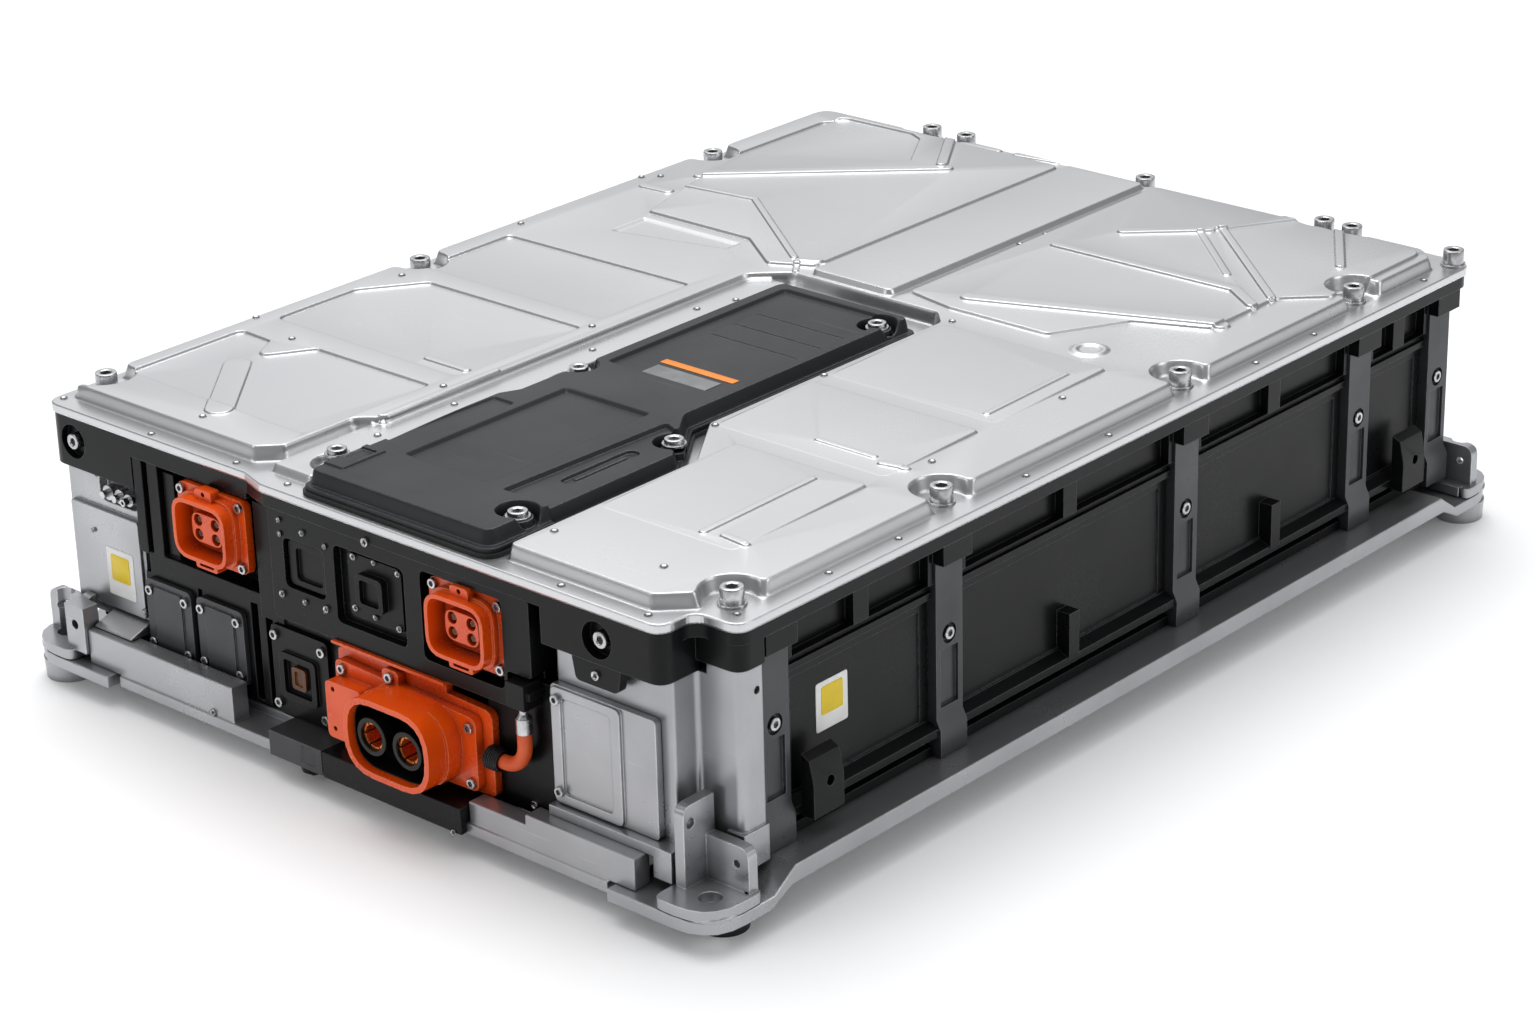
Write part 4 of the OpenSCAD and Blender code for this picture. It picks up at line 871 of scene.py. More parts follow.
    def build(self, name: str, material: bpy.types.Material) -> bpy.types.Object:
        """Builds the sheet's mesh, closed below and at its edges.

        Args:
            name: name of the piece.
            material: its material.

        Returns:
            The piece, in place.
        """
        self.rim = arc_outline(self.outline)
        points, faces = self.triangles()
        top = self.height(points)
        up = self.slopes(points)
        raised = np.clip((top - self.base) / self.thinning, 0, 1)
        low = top - self.thickness * raised - self.foot * (1 - raised)
        count = len(points)
        solid = np.concatenate([np.column_stack([points, top]), np.column_stack([points, low])])
        sides = np.concatenate([faces[:, [0, 1]], faces[:, [1, 2]], faces[:, [2, 0]]])
        keys = {(int(a), int(b)) for a, b in sides}
        rim_edges = [(a, b) for a, b in keys if (b, a) not in keys]
        walls = [(b, a, a + count, b + count) for a, b in rim_edges]
        upper = [tuple(map(int, f)) for f in faces]
        lower = [tuple(int(i) + count for i in f[::-1]) for f in faces]
        normals = [up[i] for f in faces for i in f] + [-up[i] for f in faces for i in f[::-1]]
        for a, b in rim_edges:
            out = np.array((points[b][1] - points[a][1], points[a][0] - points[b][0], 0.0))
            normals += [out / max(np.linalg.norm(out), 1e-9)] * 4
        placed = (np.array((-FLANGE_W / 2, -FLANGE_L / 2, FLANGE_Z + self.seat)) + solid) * MM
        mesh = bpy.data.meshes.new(name)
        mesh.from_pydata([tuple(p) for p in placed], [], upper + lower + walls)
        mesh.polygons.foreach_set("use_smooth", [True] * len(mesh.polygons))
        mesh.normals_split_custom_set([tuple(n) for n in normals])
        mesh.update()
        return link(name, mesh, material)


@dataclass(frozen=True)
class TopCover:
    """The pressed aluminium cover, with its plateaus, pads and beads. Lengths are in millimetres."""

    main_rise: float = 12.0
    main_run: float = 4.4
    shelf_rise: float = 6.5
    rear_rise: float = 2.5
    tunnel_rise: float = 5.0
    bead: float = 2.2
    left_u: float = 18.0
    right_u: float = 672.0
    back_v: float = 928.0
    bolts_left: tuple[float, ...] = (47.0, 385.0, 751.0)
    bolts_right: tuple[float, ...] = (51.0, 275.0, 565.0, 804.0)
    bolts_back: tuple[float, ...] = (130.0, 170.0, 372.0, 560.0, 588.0, 688.0)
    clear: float = 20.0

    def bolt_spots(self) -> list[Point]:
        """Places of the cover's bolts.

        Returns:
            Their (u, v): left side, right side, rear.
        """
        sides = [(self.left_u, v) for v in self.bolts_left] + [(self.right_u, v) for v in self.bolts_right]
        return sides + [(u, self.back_v) for u in self.bolts_back]

    def clearances(self) -> tuple[Corner, ...]:
        """Circles round the bolts that the plateaus keep off, as (u, v, radius)."""
        return tuple((u, v, self.clear) for u, v in self.bolt_spots())

    def plateaus(self) -> tuple[Relief, ...]:
        """The main steps of the cover.

        Returns:
            The plateau and the lower shelf beside the service cover.
        """
        main = (
            (9, 16, 12), (224, 16, 10), (242, 34, 8), (242, 104, 8), (262, 120, 10), (262, 526, 12),
            (288, 550, 12), (440, 550, 8), (455, 535, 8), (455, 262, 10), (497, 202, 10), (497, 7, 8),
            (638, 7, 12), (684, 52, 16), (684, 920, 18), (9, 916, 20),
        )
        shelf = ((246, 12, 6), (293, 12, 6), (293, 544, 5), (246, 544, 6))
        ears = ((285.0, 46.0, 17.0), (309.0, 277.0, 19.0))
        return (
            Relief(self.main_rise, self.main_run, main, keep_off=self.clearances(), ease=0.36),
            Relief(self.shelf_rise, 4.0, shelf, keep_off=ears, ease=0.36),
        )

    def details(self) -> tuple[Relief, ...]:
        """Rear plateaus, tunnel, pads and beads.

        Returns:
            The forms, which add to the plateaus.
        """
        rear_left = (
            (88, 590, 6), (205, 590, 8), (258, 553, 8), (296, 572, 8), (296, 905, 10), (43, 905, 20),
            (43, 770, 12), (60, 690, 12),
        )
        rear_right = (
            (445, 562, 6), (545, 562, 8), (580, 627, 10), (640, 652, 8), (640, 740, 20), (673, 770, 10),
            (673, 908, 16), (396, 908, 8), (396, 572, 6), (424, 566, 5),
        )
        sunk, clear = -self.bead, self.clearances()
        return (
            Relief(self.rear_rise, 2.0, rear_left, keep_off=clear),
            Relief(self.rear_rise, 2.0, rear_right, keep_off=clear),
            Relief(self.tunnel_rise, 3.2, ((302, 556, 8), (390, 556, 8), (390, 906, 8), (302, 906, 8))),
            Relief(sunk, 2.0, (
                (26, 62, 10), (236, 58, 10), (236, 189, 6), (106, 189, 8), (80, 148, 8), (64, 178, 6),
                (26, 180, 8),
            )),
            Relief(sunk, 2.0, ((28, 214, 10), (240, 212, 10), (240, 352, 6), (64, 352, 10), (28, 302, 10))),
            Relief(sunk, 2.0, ((32, 374, 8), (240, 374, 8), (240, 480, 6), (32, 477, 6))),
            Relief(1.5, 1.8, line=((80, 128), (146, 52)), width=24.0),
            Relief(1.5, 1.8, line=((190, 230), (232, 230)), width=9.0),
            Relief(1.4, 1.8, line=((255, 120), (255, 240)), width=8.0),
            Relief(
                self.bead, 2.2, ((503, 96, 8), (632, 96, 8), (632, 243, 6), (503, 243, 10)),
                fade=(560, 80, 560, 190),
            ),
            Relief(
                self.bead, 2.2, ((464, 262, 8), (630, 262, 8), (630, 373, 6), (464, 373, 8)),
                fade=(560, 250, 560, 340),
            ),
            Relief(
                self.bead, 2.2, ((464, 392, 8), (628, 392, 8), (628, 532, 6), (464, 532, 10)),
                fade=(560, 380, 560, 490),
            ),
            Relief(1.4, 1.8, line=((594, 108), (594, 224)), width=8.0),
            Relief(1.2, 1.8, line=((546, 286), (600, 286)), width=7.0),
            Relief(1.6, 1.8, line=((610, 112), (632, 110)), width=8.0),
            Relief(1.6, 1.8, line=((612, 280), (632, 284)), width=8.0),
            Relief(1.2, 1.8, line=((611, 404), (611, 500)), width=7.0),
            Relief(self.bead, 2.0, line=((56, 692), (222, 836)), width=13.0),
            Relief(sunk, 2.0, (
                (36, 762, 6), (58, 762, 6), (182, 834, 6), (146, 892, 10), (130, 900, 8), (50, 899, 14),
                (36, 880, 12),
            )),
            Relief(self.bead, 2.0, line=((168, 908), (214, 838)), width=12.0),
            Relief(1.6, 1.8, line=((176, 909), (222, 909)), width=9.0),
            Relief(1.8, 1.8, line=((243, 910), (284, 916)), width=10.0),
            Relief(1.6, 1.8, line=((72, 660), (142, 669), (270, 575)), width=8.0),
            Relief(1.4, 1.8, line=((288, 556), (276, 572), (300, 584)), width=7.0),
            Relief(1.6, 1.8, line=((36, 642), (62, 644)), width=12.0),
            Relief(-2.0, 6.0, ((92, 536, 6), (206, 562, 5), (206, 582, 4), (92, 582, 4))),
            Relief(self.bead, 2.1, line=((446, 588), (640, 664)), width=16.0),
            Relief(self.bead, 2.0, line=((424, 732), (604, 734), (636, 712)), width=12.0),
            Relief(self.bead, 2.1, line=((448, 794), (502, 842)), width=13.0),
            Relief(self.bead, 2.1, line=((506, 852), (552, 926)), width=13.0),
            Relief(self.bead, 2.1, line=((556, 932), (574, 928), (640, 832)), width=10.0),
            Relief(1.8, 1.8, line=((510, 850), (638, 736)), width=9.0),
            Relief(1.2, 1.8, line=((500, 832), (578, 760)), width=8.0),
            Relief(1.8, 1.8, line=((412, 927), (446, 929)), width=9.0),
            Relief(1.8, 1.8, line=((466, 927), (478, 934), (520, 936)), width=9.0),
            Relief(2.0, 5.0, line=((590, 558), (590.5, 558)), width=34.0),
            Relief(-1.6, 4.0, line=((590, 558), (590.5, 558)), width=22.0),
        )

    def build(self) -> bpy.types.Object:
        """Builds the cover.

        Returns:
            The piece, which takes the node's place.
        """
        outline = (
            (0, 0, 14), (232, 0, 8), (258, -8, 8), (660, -8, 14), (660, 26, 12), (700, 26, 14),
            (700, 940, 16), (0, 940, 22),
        )
        opening = ((320, 60, 10), (425, 60, 10), (425, 490, 10), (320, 490, 10))
        sheet = PressedSheet(outline, self.plateaus(), self.details(), (opening,))
        return settle(sheet.build("pressed_cover", PAINT.of(Slot.COVER)), ("top_cover",))


@dataclass(frozen=True)
class ServiceCover:
    """The black moulded cover over the service opening. Lengths are in millimetres."""

    seat: float = 3.0
    foot: float = 4.0
    rise: float = 12.0
    boss: float = 6.0
    boss_width: float = 24.0
    ear_clear: float = 13.0
    ears: tuple[Point, ...] = ((285.0, 46.0), (473.0, 46.0), (309.0, 277.0), (468.0, 214.0), (429.0, 493.0))
    groove_rows: tuple[float, ...] = (396.0, 424.0, 452.0)

    def build(self) -> bpy.types.Object:
        """Builds the cover's shell.

        Returns:
            The piece, which takes the node's place.
        """
        outline = (
            (296, -1, 10), (491, -1, 14), (491, 196, 8), (449, 254, 8), (449, 520, 10), (304, 520, 14),
            (304, 214, 6), (296, 198, 6),
        )
        body = (
            (299, 2, 8), (488, 2, 12), (488, 195, 6), (446, 253, 6), (446, 517, 8), (307, 517, 12),
            (307, 213, 5), (299, 197, 5),
        )
        ears = tuple((u, v, self.ear_clear) for u, v in self.ears)
        details = (
            Relief(-3.0, 5.0, ((334, 66, 5), (424, 66, 5), (424, 238, 5), (334, 238, 5))),
            Relief(-2.0, 3.0, ((300, 78, 4), (328, 78, 4), (328, 190, 4), (304, 190, 4))),
            Relief(-3.0, 4.0, ((320, 296, 5), (436, 296, 5), (436, 506, 8), (320, 506, 5))),
            Relief(-3.5, 3.0, ((438, 64, 4), (500, 64, 4), (500, 210, 4), (444, 232, 4))),
            Relief(-2.5, 2.0, line=((460, 112), (460, 176)), width=14.0),
            Relief(1.5, 1.5, line=((460, 118), (460, 170)), width=5.0),
            Relief(1.6, 2.5, ((292, 16, 3), (324, 16, 3), (324, 62, 3), (292, 62, 3))),
            Relief(-2.2, 1.2, ((302, 32, 2), (320, 32, 2), (320, 56, 2), (302, 56, 2))),
            *(Relief(-1.2, 1.6, line=((338, v), (428, v)), width=3.4) for v in self.groove_rows),
            *(
                Relief(self.boss, 1.6, line=((u, v), (u + 0.4, v)), width=self.boss_width)
                for u, v in self.ears
            ),
        )
        sheet = PressedSheet(
            outline, (Relief(self.rise, 4.0, body, keep_off=ears, blend=3.0, ease=0.35),), details,
            base=self.foot, thickness=3.0, foot=self.foot, edge=1.0, seat=self.seat,
        )
        piece = sheet.build("service_cover_shell", PAINT.of(Slot.SERVICE))
        return settle(piece, ("service_cover",))


# ---------------------------------------------------------------- the pack's other pieces


@dataclass(frozen=True)
class Bodywork:
    """The frame, walls and castings: CAD nodes with rounded edges or with their finish alone."""

    rounded: tuple[RoundedNode, ...] = (
        RoundedNode("front_rail", 1.2, Slot.CAST),
        RoundedNode("rear_rail", 1.2, Slot.CAST),
        RoundedNode("left_rail", 1.2, Slot.CAST),
        RoundedNode("right_rail", 1.2, Slot.CAST),
        RoundedNode("lug_front_left", 1.4, Slot.CAST),
        RoundedNode("lug_front_right", 1.4, Slot.CAST),
        RoundedNode("lug_rear_left", 1.4, Slot.CAST),
        RoundedNode("lug_rear_right", 1.4, Slot.CAST),
        RoundedNode("front_cover_left", 0.9, Slot.CAST),
        RoundedNode("front_cover_right", 0.9, Slot.CAST),
        RoundedNode("corner_column", 1.3, Slot.CAST),
        RoundedNode("hv_connector_left", 0.9, Slot.ORANGE),
        RoundedNode("hv_connector_right", 0.9, Slot.ORANGE),
        RoundedNode("main_connector", 1.3, Slot.ORANGE),
        RoundedNode("main_connector_plate", 0.6, Slot.ORANGE),
        RoundedNode("upper_frame", 0.9, Slot.BLACK_CAST),
        RoundedNode("left_posts", 1.0, Slot.DARK_STEEL),
        RoundedNode("right_posts", 1.0, Slot.DARK_STEEL),
        RoundedNode("side_brackets", 1.0, Slot.BLACK_CAST),
        RoundedNode("connector_panel", 0.6, Slot.BLACK_CAST),
        RoundedNode("blanking_plates", 0.8, Slot.DARK_STEEL),
        RoundedNode("lower_bracket", 0.8, Slot.DARK_STEEL),
        RoundedNode("connector_support", 0.8, Slot.BLACK_CAST),
        RoundedNode("front_housing", 0.7, Slot.BLACK_CAST),
        RoundedNode("signal_connectors", 0.5, Slot.BLACK_PLASTIC),
        RoundedNode("signal_socket", 0.5, Slot.BLACK_PLASTIC),
        RoundedNode("hv_inserts", 0.5, Slot.ORANGE),
        RoundedNode("contact_rings", 0.6, Slot.RING),
        RoundedNode("main_insert", 0.5, Slot.BLACK_PLASTIC),
        RoundedNode("fitting_block", 0.6, Slot.BLACK_PLASTIC),
    )
    own_finish: tuple[tuple[str, str, Finish], ...] = (
        ("hv_pins", "pin_shade", PIN_PAINTED_SHADOW), ("signal_seal", "seal_amber", SEAL_AMBER),
    )

    def build(self) -> None:
        """Rounds the nodes that show and paints every node."""
        own = {node: (name, finish) for node, name, finish in self.own_finish}
        for part in frame["record"]["subparts"]:
            node = part["node"]
            material = PAINT.named(*own[node]) if node in own else PAINT.of(Slot(part["material_slot"]))
            mesh = frame["nodes"][node].data
            if not mesh.materials:
                mesh.materials.append(material)
            for index in range(len(mesh.materials)):
                mesh.materials[index] = material
        for piece in self.rounded:
            piece.build()


class Draft:
    """Collects the shapes of many small parts into one mesh."""

    def __init__(self) -> None:
        """Starts empty."""
        self.points: list[Vector] = []
        self.faces: list[tuple[int, ...]] = []

    def rings(self, rings: list[list[Vector]], cap: bool = True) -> None:
        """Joins rings of points by walls.

        Args:
            rings: the rings, each with as many points as the others.
            cap: whether the first and last ring are closed by a face.
        """
        start, count = len(self.points), len(rings[0])
        for ring in rings:
            self.points += ring
        for k in range(len(rings) - 1):
            a, b = start + k * count, start + (k + 1) * count
            self.faces += [(a + i, a + (i + 1) % count, b + (i + 1) % count, b + i) for i in range(count)]
        if cap:
            self.faces.append(tuple(start + i for i in reversed(range(count))))
            self.faces.append(tuple(start + (len(rings) - 1) * count + i for i in range(count)))

    def piece(self, name: str, material: bpy.types.Material, sharp: float = 38.0) -> bpy.types.Object:
        """Makes a piece of what was drafted.

        Args:
            name: name of the piece.
            material: its material.
            sharp: edges sharper than this many degrees are left crisp.

        Returns:
            The piece.
        """
        mesh = bpy.data.meshes.new(name)
        mesh.from_pydata([tuple(p) for p in self.points], [], self.faces)
        mesh.polygons.foreach_set("use_smooth", [True] * len(mesh.polygons))
        mesh.set_sharp_from_angle(angle=math.radians(sharp))
        mesh.update()
        return link(name, mesh, material)


@dataclass(frozen=True)
class SocketScrew:
    """A socket head screw on a washer. Lengths are in millimetres."""

    radius: float
    head: float
    washer: float = 0.0
    washer_t: float = 0.0
    socket: float = 4.0
    depth: float = 5.0
    chamfer: float = 0.8
    segments: int = 48
    sunk: float = 0.4
    dish: float = 1.3
    mouth: float = 0.55
    mouth_depth: float = 0.15
    hexagon_depth: float = 0.7

    def draw(self, draft: Draft, place: Vector, out: Vector) -> None:
        """Adds the screw to a draft.

        Args:
            draft: the draft.
            place: centre of its seat, in metres.
            out: direction that the head points to.
        """
        side = out.orthogonal().normalized()
        other = out.cross(side)
        top = self.washer_t + self.head
        rim = self.chamfer
        steps = [(self.radius, -self.sunk)]
        if self.washer:
            steps = [
                (self.washer, -self.sunk), (self.washer, self.washer_t * 0.7),
                (self.washer - 0.4, self.washer_t), (self.radius + 0.1, self.washer_t),
            ]
        steps += [
            (self.radius, self.washer_t), (self.radius, top - rim),
            (self.radius - 0.3 * rim, top - 0.3 * rim), (self.radius - rim, top),
            (self.socket + self.dish, top), (self.socket + self.mouth, top - self.mouth_depth),
        ]
        turns = [2 * math.pi * i / self.segments for i in range(self.segments)]
        flat = math.pi / 6
        hexagon = [self.socket * math.cos(flat) / math.cos((t + flat) % (2 * flat) - flat) for t in turns]
        rounds = [([radius] * self.segments, height) for radius, height in steps]
        rounds += [(hexagon, top - self.hexagon_depth), (hexagon, top - self.depth)]
        rings = []
        for reaches, height in rounds:
            around = [side * (r * math.cos(t)) + other * (r * math.sin(t)) for r, t in zip(reaches, turns)]
            rings.append([place + (spoke + out * height) * MM for spoke in around])
        draft.rings(rings)


@dataclass(frozen=True)
class Fasteners:
    """The cover's and service cover's bolts, which take their nodes' places."""

    cover: TopCover
    service: ServiceCover
    cover_screw: SocketScrew = SocketScrew(
        radius=8.7, head=12.0, washer=10.4, washer_t=1.8, socket=4.7, depth=6.5, chamfer=1.2
    )
    service_screw: SocketScrew = SocketScrew(
        radius=7.6, head=3.6, washer=9.6, washer_t=1.4, socket=4.2, depth=3.4, chamfer=1.0
    )

    def build(self) -> None:
        """Builds both sets of bolts."""
        draft = Draft()
        for u, v in self.cover.bolt_spots():
            self.cover_screw.draw(draft, flange_point(u, v), UP)
        settle(draft.piece("cover_bolt_heads", PAINT.of(Slot.FASTENER)), ("cover_bolts",))
        draft = Draft()
        for u, v in self.service.ears:
            seat = self.service.seat + self.service.foot + self.service.boss
            self.service_screw.draw(draft, flange_point(u, v, seat), UP)
        settle(draft.piece("service_bolt_heads", PAINT.of(Slot.FASTENER)), ("service_bolts",))


def hit(start: Vector, ahead: Vector) -> Vector | None:
    """Where a ray first meets the pack, or nothing."""
    found, place, *_ = bpy.context.scene.ray_cast(bpy.context.evaluated_depsgraph_get(), start, ahead)
    return place if found else None


@dataclass(frozen=True)
class Fittings:
    """Small screws that the photograph shows on the faces. Lengths are in millimetres."""

    front: tuple[tuple[float, float, float], ...] = (
        (275, 25, 1.9), (275, 36, 1.7), (300, 29, 2.6), (324, 33, 1.7), (273, 85, 3.0), (298, 85, 2.4),
        (321, 84, 3.0), (350, 35, 2.9), (372, 34, 2.4), (397, 36, 2.8), (349, 76, 2.9), (370, 78, 2.3),
        (395, 80, 2.9), (404, 86, 1.9), (369, 17, 3.6), (94, 155, 2.6), (197, 201, 3.0), (466, 211, 2.8),
        (519, 184, 3.4), (40, 100, 1.6), (46, 52, 2.2), (30, 27, 6.4), (601, 27, 6.4), (596, 55, 3.6),
    )
    cover: tuple[Point, ...] = (
        (12, 545), (20, 503), (15, 660), (27, 672), (15, 205), (75, 190), (147, 35), (35, 348), (245, 358),
        (246, 192), (290, 435), (285, 485), (285, 208), (290, 385), (465, 262), (462, 390), (635, 465),
        (637, 307), (612, 48), (510, 45), (495, 170), (455, 450), (457, 480), (465, 543), (395, 755),
        (393, 722), (8, 12), (120, 6), (215, 8), (276, 4), (560, 0), (640, 2), (686, 40), (690, 130),
        (690, 205), (690, 350), (690, 450), (690, 640), (690, 720), (690, 880), (632, 935), (470, 935),
        (300, 935), (60, 935), (8, 140), (8, 300), (8, 460), (8, 600), (8, 850), (270, 100), (270, 180),
        (272, 330), (274, 450),
    )
    cover_screw: SocketScrew = SocketScrew(
        radius=2.5, head=0.5, washer=3.3, washer_t=0.25, socket=1.5, depth=0.7, chamfer=0.2, segments=24
    )
    large: float = 6.0
    large_head: float = 9.0
    low_head: float = 0.9
    head_share: float = 0.35
    socket_share: float = 0.5
    depth_share: float = 0.55
    chamfer_share: float = 0.16
    ring: float = 1.2
    hollow: float = 0.3
    before: float = -150.0
    above: float = 170.0
    deepest_y: float = -0.36
    lowest_z: float = 0.2

    def front_place(self, u: float, depth: float, radius: float) -> Vector | None:
        """Finds where a screw of the front sits.

        Args:
            u: its place along the flange.
            depth: how far below the flange's face it is.
            radius: its radius.

        Returns:
            The centre of its seat, or nothing where no face is near the front.
        """
        place = hit(flange_point(u, self.before, -depth), REARWARD)
        if place is None or place.y > self.deepest_y:
            return None
        reach = (radius + self.ring) * MM
        around = ((1, 0), (-1, 0), (0, 1), (0, -1))
        beside = [hit(place + Vector((x * reach, -0.1, z * reach)), REARWARD) for x, z in around]
        if all(spot is not None and spot.y < place.y - self.hollow * MM for spot in beside):
            place.y = max(spot.y for spot in beside)
        return place

    def front_screw(self, radius: float) -> SocketScrew:
        """Screw of the front.

        Args:
            radius: its radius.

        Returns:
            The screw: the large ones stand high, the small ones are low and in proportion.
        """
        return SocketScrew(
            radius, self.large_head if radius > self.large else self.low_head + radius * self.head_share,
            socket=radius * self.socket_share, depth=radius * self.depth_share,
            chamfer=radius * self.chamfer_share, segments=24,
        )

    def build(self) -> None:
        """Builds the screws of the front and of the cover."""
        bpy.context.view_layer.update()
        front, top = Draft(), Draft()
        for u, depth, radius in self.front:
            place = self.front_place(u, depth, radius)
            if place is not None:
                self.front_screw(radius).draw(front, place, -REARWARD)
        for u, v in self.cover:
            place = hit(flange_point(u, v, self.above), DOWN)
            if place is not None and place.z > self.lowest_z:
                self.cover_screw.draw(top, place, UP)
        settle(front.piece("front_fittings", PAINT.of(Slot.FASTENER)))
        settle(top.piece("cover_fittings", PAINT.of(Slot.FASTENER)))


@dataclass(frozen=True)
class Liner:
    """Dark sleeve inside the main connector's mouth. Lengths are in millimetres, in the frame."""

    x: float = 64.0
    z: float = 77.0
    width: float = 79.7
    height: float = 53.7
    corner: float = 24.3
    front: float = -504.0
    back: float = -478.0
    wall: float = 0.5

    def build(self) -> None:
        """Builds the sleeve as a closed thin tube."""
        draft = Draft()
        loops = []
        outside = ((0, self.front), (0, self.back))
        inside = ((self.wall, self.back), (self.wall, self.front), (0, self.front))
        for shrink, depth in outside + inside:
            w, h, r = self.width / 2 - shrink, self.height / 2 - shrink, self.corner - shrink
            ring = arc_outline(((-w, -h, r), (w, -h, r), (w, h, r), (-w, h, r)), 8)
            loops.append([Vector((self.x + u, depth, self.z + v)) * MM for u, v in ring])
        draft.rings(loops, cap=False)
        settle(draft.piece("main_liner", PAINT.of(Slot.BLACK_PLASTIC)))


@dataclass(frozen=True)
class CornerPlate:
    """Plain plate that closes the case beside the front left cover. Lengths are in millimetres."""

    centre: tuple[float, float] = (-336.0, -428.0)
    size: tuple[float, float] = (7.0, 27.0)
    corner: float = 1.4
    low: float = 40.0
    top: float = 192.0
    chamfer: float = 0.8
    border: float = 12.0
    slope: float = 2.0
    rib: float = 1.2

    def build(self) -> None:
        """Builds the plate as one upright bar with a raised field."""
        draft, loops = Draft(), []
        field_at = self.border + self.slope
        steps = (
            (self.chamfer, self.low), (0.0, self.low + self.chamfer), (0.0, self.low + self.border),
            (-self.rib, self.low + field_at), (-self.rib, self.top - field_at),
            (0.0, self.top - self.border), (0.0, self.top - self.chamfer), (self.chamfer, self.top),
        )
        for shrink, height in steps:
            w, h = self.size[0] / 2 - shrink, self.size[1] / 2 - max(shrink, 0.0)
            r = max(self.corner - shrink, 0.4)
            ring = arc_outline(((-w, -h, r), (w, -h, r), (w, h, r), (-w, h, r)), 5)
            loops.append([Vector((self.centre[0] + u, self.centre[1] + v, height)) * MM for u, v in ring])
        draft.rings(loops)
        settle(draft.piece("left_corner_plate", PAINT.of(Slot.BLACK_CAST)))


@dataclass(frozen=True)
class ColourField:
    """A thin plain plate stuck on a face where the photograph has a label. Lengths are in millimetres."""

    name: str
    centre: tuple[float, float, float]
    across: tuple[float, float, float]
    up: tuple[float, float, float]
    size: tuple[float, float]
    finish: Finish
    slot: Slot
    lift: float = 0.1
    thick: float = 0.35
    corner: float = 2.0
    sunk: float = 0.1
    chamfer: float = 0.25
    search: float = 300.0

    def build(self) -> None:
        """Builds the plate on the face that lies under its centre."""
        across, up = Vector(self.across), Vector(self.up)
        out = across.cross(up).normalized()
        centre = Vector(self.centre) * MM
        place = hit(centre + out * self.search * MM, -out)
        if place is None:
            return
        w, h = self.size[0] / 2, self.size[1] / 2
        draft, loops = Draft(), []
        for shrink, height in ((0, -self.sunk), (0, self.thick * 0.6), (self.chamfer, self.thick)):
            r = max(self.corner - shrink, 0.2)
            right, top = w - shrink, h - shrink
            ring = arc_outline(((-right, -top, r), (right, -top, r), (right, top, r), (-right, top, r)), 5)
            loops.append([place + (across * u + up * v + out * (height + self.lift)) * MM for u, v in ring])
        draft.rings(loops)
        settle(draft.piece(self.name, PAINT.named(self.name, self.finish)))


@dataclass(frozen=True)
class Lamp:
    """A soft square lamp. Lengths are in metres, the power in watts."""

    name: str
    place: tuple[float, float, float]
    size: float
    power: float
    aim: tuple[float, float, float]

    def build(self) -> None:
        """Hangs the lamp."""
        data = bpy.data.lights.new(self.name, "AREA")
        data.energy, data.size = self.power, self.size
        lamp = bpy.data.objects.new(self.name, data)
        lamp.location = self.place
        lamp.rotation_euler = (Vector(self.aim) - Vector(self.place)).to_track_quat("-Z", "Y").to_euler()
        bpy.context.scene.collection.objects.link(lamp)


@dataclass(frozen=True)
class Glow:
    """A soft bright patch of the surroundings: where it is, how far it reaches and how much it adds."""

    aim: tuple[float, float, float]
    outer: float
    inner: float
    gain: float


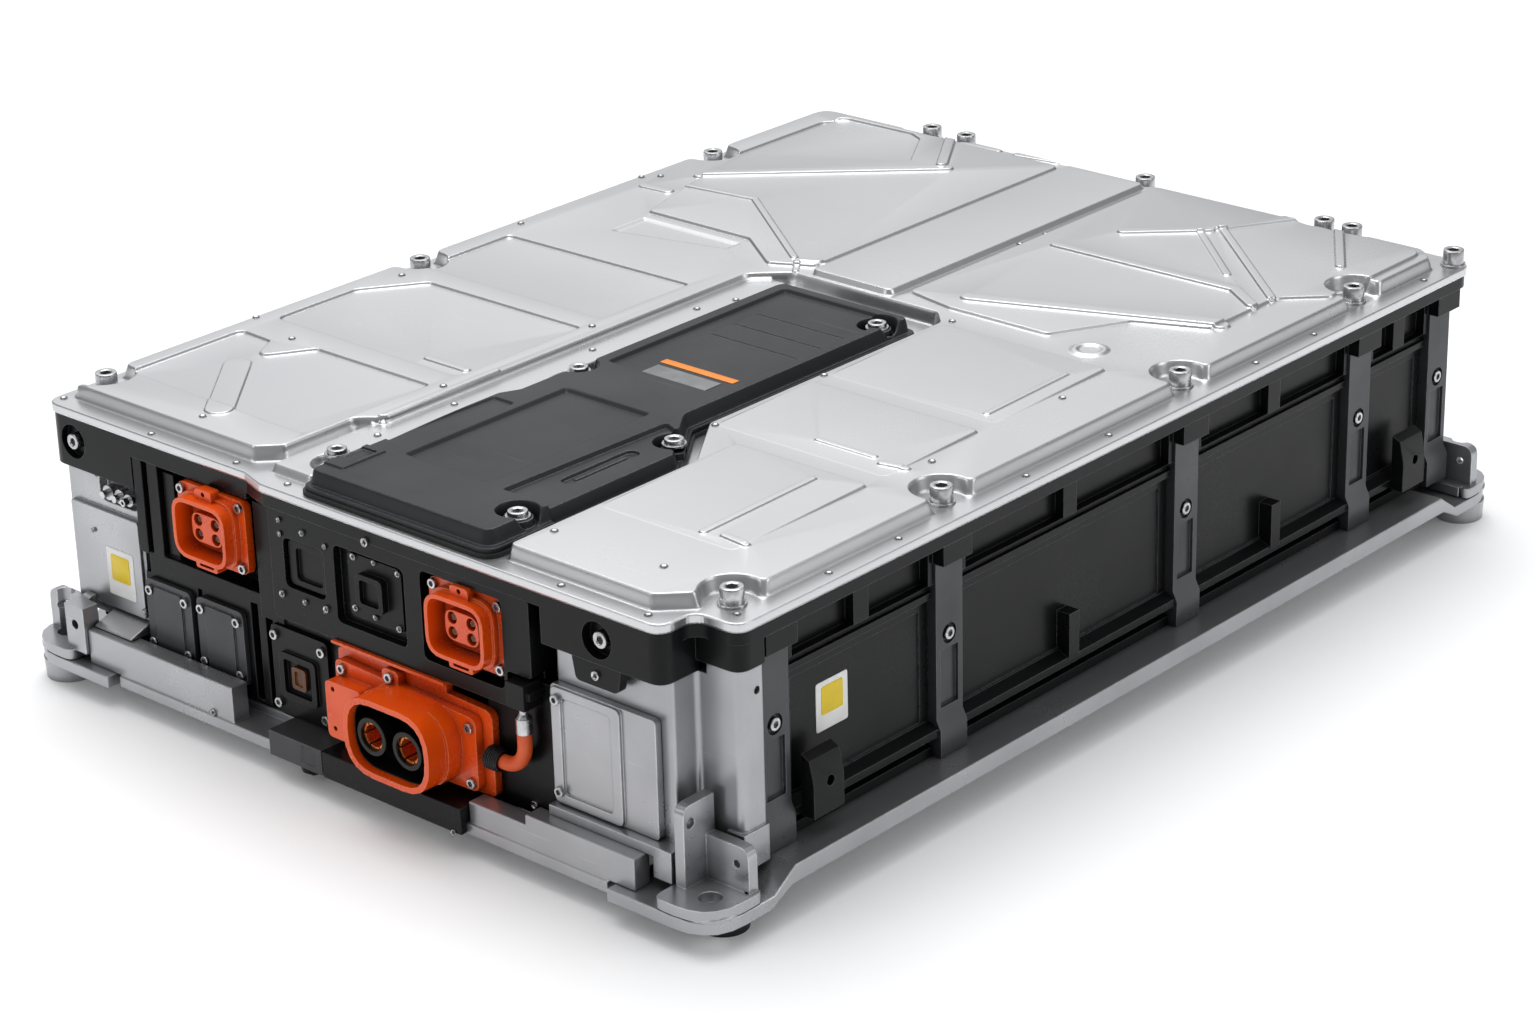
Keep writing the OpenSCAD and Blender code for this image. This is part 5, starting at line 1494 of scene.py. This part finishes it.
@dataclass(frozen=True)
class Studio:
    """Camera, floor and soft light.

    Lengths are in metres, angles in degrees, the lens and its sensor in millimetres.
    """

    eye: tuple[float, float, float] = (1.9166, -2.1448, 1.3044)
    yaw: float = -42.11
    pitch: float = 23.21
    roll: float = -1.49
    lens: float = 89.47
    sensor: float = 36.0
    near: float = 0.05
    far: float = 60.0
    floor_size: float = 14.0
    horizon: Point = (0.02, 0.30)
    sky_level: Point = (0.16, 0.36)
    glows: tuple[Glow, ...] = (
        Glow((-0.58, 0.50, 0.64), 0.80, 0.985, 0.80), Glow((0.0, 0.0, 1.0), 0.70, 0.95, 1.0),
    )
    lamps: tuple[Lamp, ...] = (
        Lamp("overhead", (-0.5, 0.2, 2.6), 1.9, 34.0, (0.0, 0.0, 0.1)),
        Lamp("right_fill", (2.8, 0.9, 1.3), 1.4, 10.0, (0.3, 0.0, 0.1)),
        Lamp("front_fill", (-1.2, -2.8, 1.5), 1.2, 7.0, (0.0, -0.4, 0.1)),
    )

    def camera(self) -> None:
        """Makes the photograph's camera."""
        yaw, pitch, roll = (math.radians(a) for a in (self.yaw, self.pitch, self.roll))
        ahead = Vector((math.sin(yaw) * math.cos(pitch), math.cos(yaw) * math.cos(pitch), -math.sin(pitch)))
        right = Vector((math.cos(yaw), -math.sin(yaw), 0.0))
        up = right.cross(ahead)
        side = right * math.cos(roll) + up * math.sin(roll)
        top = up * math.cos(roll) - right * math.sin(roll)
        data = bpy.data.cameras.new("photo_camera")
        data.lens, data.sensor_width, data.sensor_fit = self.lens, self.sensor, "HORIZONTAL"
        data.clip_start, data.clip_end = self.near, self.far
        camera = bpy.data.objects.new("photo_camera", data)
        camera.matrix_world = Matrix((
            (side.x, top.x, -ahead.x, self.eye[0]), (side.y, top.y, -ahead.y, self.eye[1]),
            (side.z, top.z, -ahead.z, self.eye[2]), (0, 0, 0, 1),
        ))
        bpy.context.scene.collection.objects.link(camera)
        bpy.context.scene.camera = camera

    def floor(self) -> None:
        """Makes the pale floor, which keeps the pack's shadow."""
        mesh = bpy.data.meshes.new("studio_floor")
        half = self.floor_size / 2
        corners = [(-half, -half, 0), (half, -half, 0), (half, half, 0), (-half, half, 0)]
        mesh.from_pydata(corners, [], [(0, 1, 2, 3)])
        material = bpy.data.materials.new("studio_floor")
        material.use_nodes = True
        sheet = NodeSheet(material.node_tree)
        place = sheet.add("TexCoord").outputs["Object"]
        colour = sheet.mix(sheet.noise(place, 1.5, 2.0), srgb(252, 252, 252), srgb(250, 250, 251))
        plain = sheet.add("BsdfPrincipled", {
            "Base Color": colour, "Roughness": 0.9, "Specular IOR Level": 0.0, "Emission Color": (1, 1, 1, 1),
            "Emission Strength": 0.05,
        })
        sheet.add("OutputMaterial", {"Surface": plain.outputs[0]})
        link("studio_floor", mesh, material)

    def sky(self) -> None:
        """Makes the soft surroundings: bright above and behind, quieter at the front."""
        world = bpy.data.worlds.new("studio")
        bpy.context.scene.world = world
        world.use_nodes = True
        sheet = NodeSheet(world.node_tree)
        ray = sheet.add("TexCoord").outputs["Generated"]
        height = sheet.add("SeparateXYZ", {"Vector": ray}).outputs["Z"]
        level = sheet.spread(height, *self.horizon, *self.sky_level)
        for glow in self.glows:
            aims = {0: ray, 1: tuple(Vector(glow.aim).normalized())}
            toward = sheet.add("VectorMath", aims, operation="DOT_PRODUCT").outputs["Value"]
            level = sheet.math("ADD", level, sheet.spread(toward, glow.outer, glow.inner, 0.0, glow.gain))
        sky = sheet.add("Background", {"Color": (0.985, 0.99, 1.0, 1.0), "Strength": level})
        sheet.add("OutputWorld", {"Surface": sky.outputs[0]})

    def build(self) -> None:
        """Sets up the studio."""
        self.camera()
        self.floor()
        self.sky()
        for lamp in self.lamps:
            lamp.build()
        bpy.context.scene.view_settings.view_transform = "Standard"


def label_fields() -> tuple[ColourField, ...]:
    """The plain fields of colour.

    Returns:
        The fields of the front, of the right side and of the service cover.
    """
    front, up, back = (1, 0, 0), (0, 0, 1), (0, 1, 0)
    cast, black, lid = Slot.CAST, Slot.BLACK_CAST, Slot.SERVICE
    return (
        ColourField("front_plate_field", (-281, -460, 100), front, up, (32, 40), LABEL_PALE, cast),
        ColourField("front_yellow_field", (-281, -460, 104), front, up, (22, 22), LABEL_YELLOW, cast),
        ColourField("side_plate_field", (345, -329, 125), back, up, (34, 38), LABEL_PALE, black),
        ColourField("side_yellow_field", (345, -329, 129), back, up, (23, 22), LABEL_YELLOW, black),
        ColourField("service_bar_field", (38, -141, 245), front, back, (76, 8), LABEL_ORANGE, lid, corner=1.0),
        ColourField("service_text_field", (36, -166, 245), front, back, (66, 32), LABEL_GREY, lid, corner=1.0),
    )


def main() -> None:
    """Builds the scene in order and reports each piece."""
    logging.basicConfig(level=logging.INFO, format="%(name)s %(message)s")
    Studio().build()
    Bodywork().build()
    cover, service = TopCover(), ServiceCover()
    cover.build()
    service.build()
    CornerPlate().build()
    Fasteners(cover, service).build()
    Fittings().build()
    Liner().build()
    for label in label_fields():
        label.build()
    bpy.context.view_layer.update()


if __name__ == "__main__":
    main()
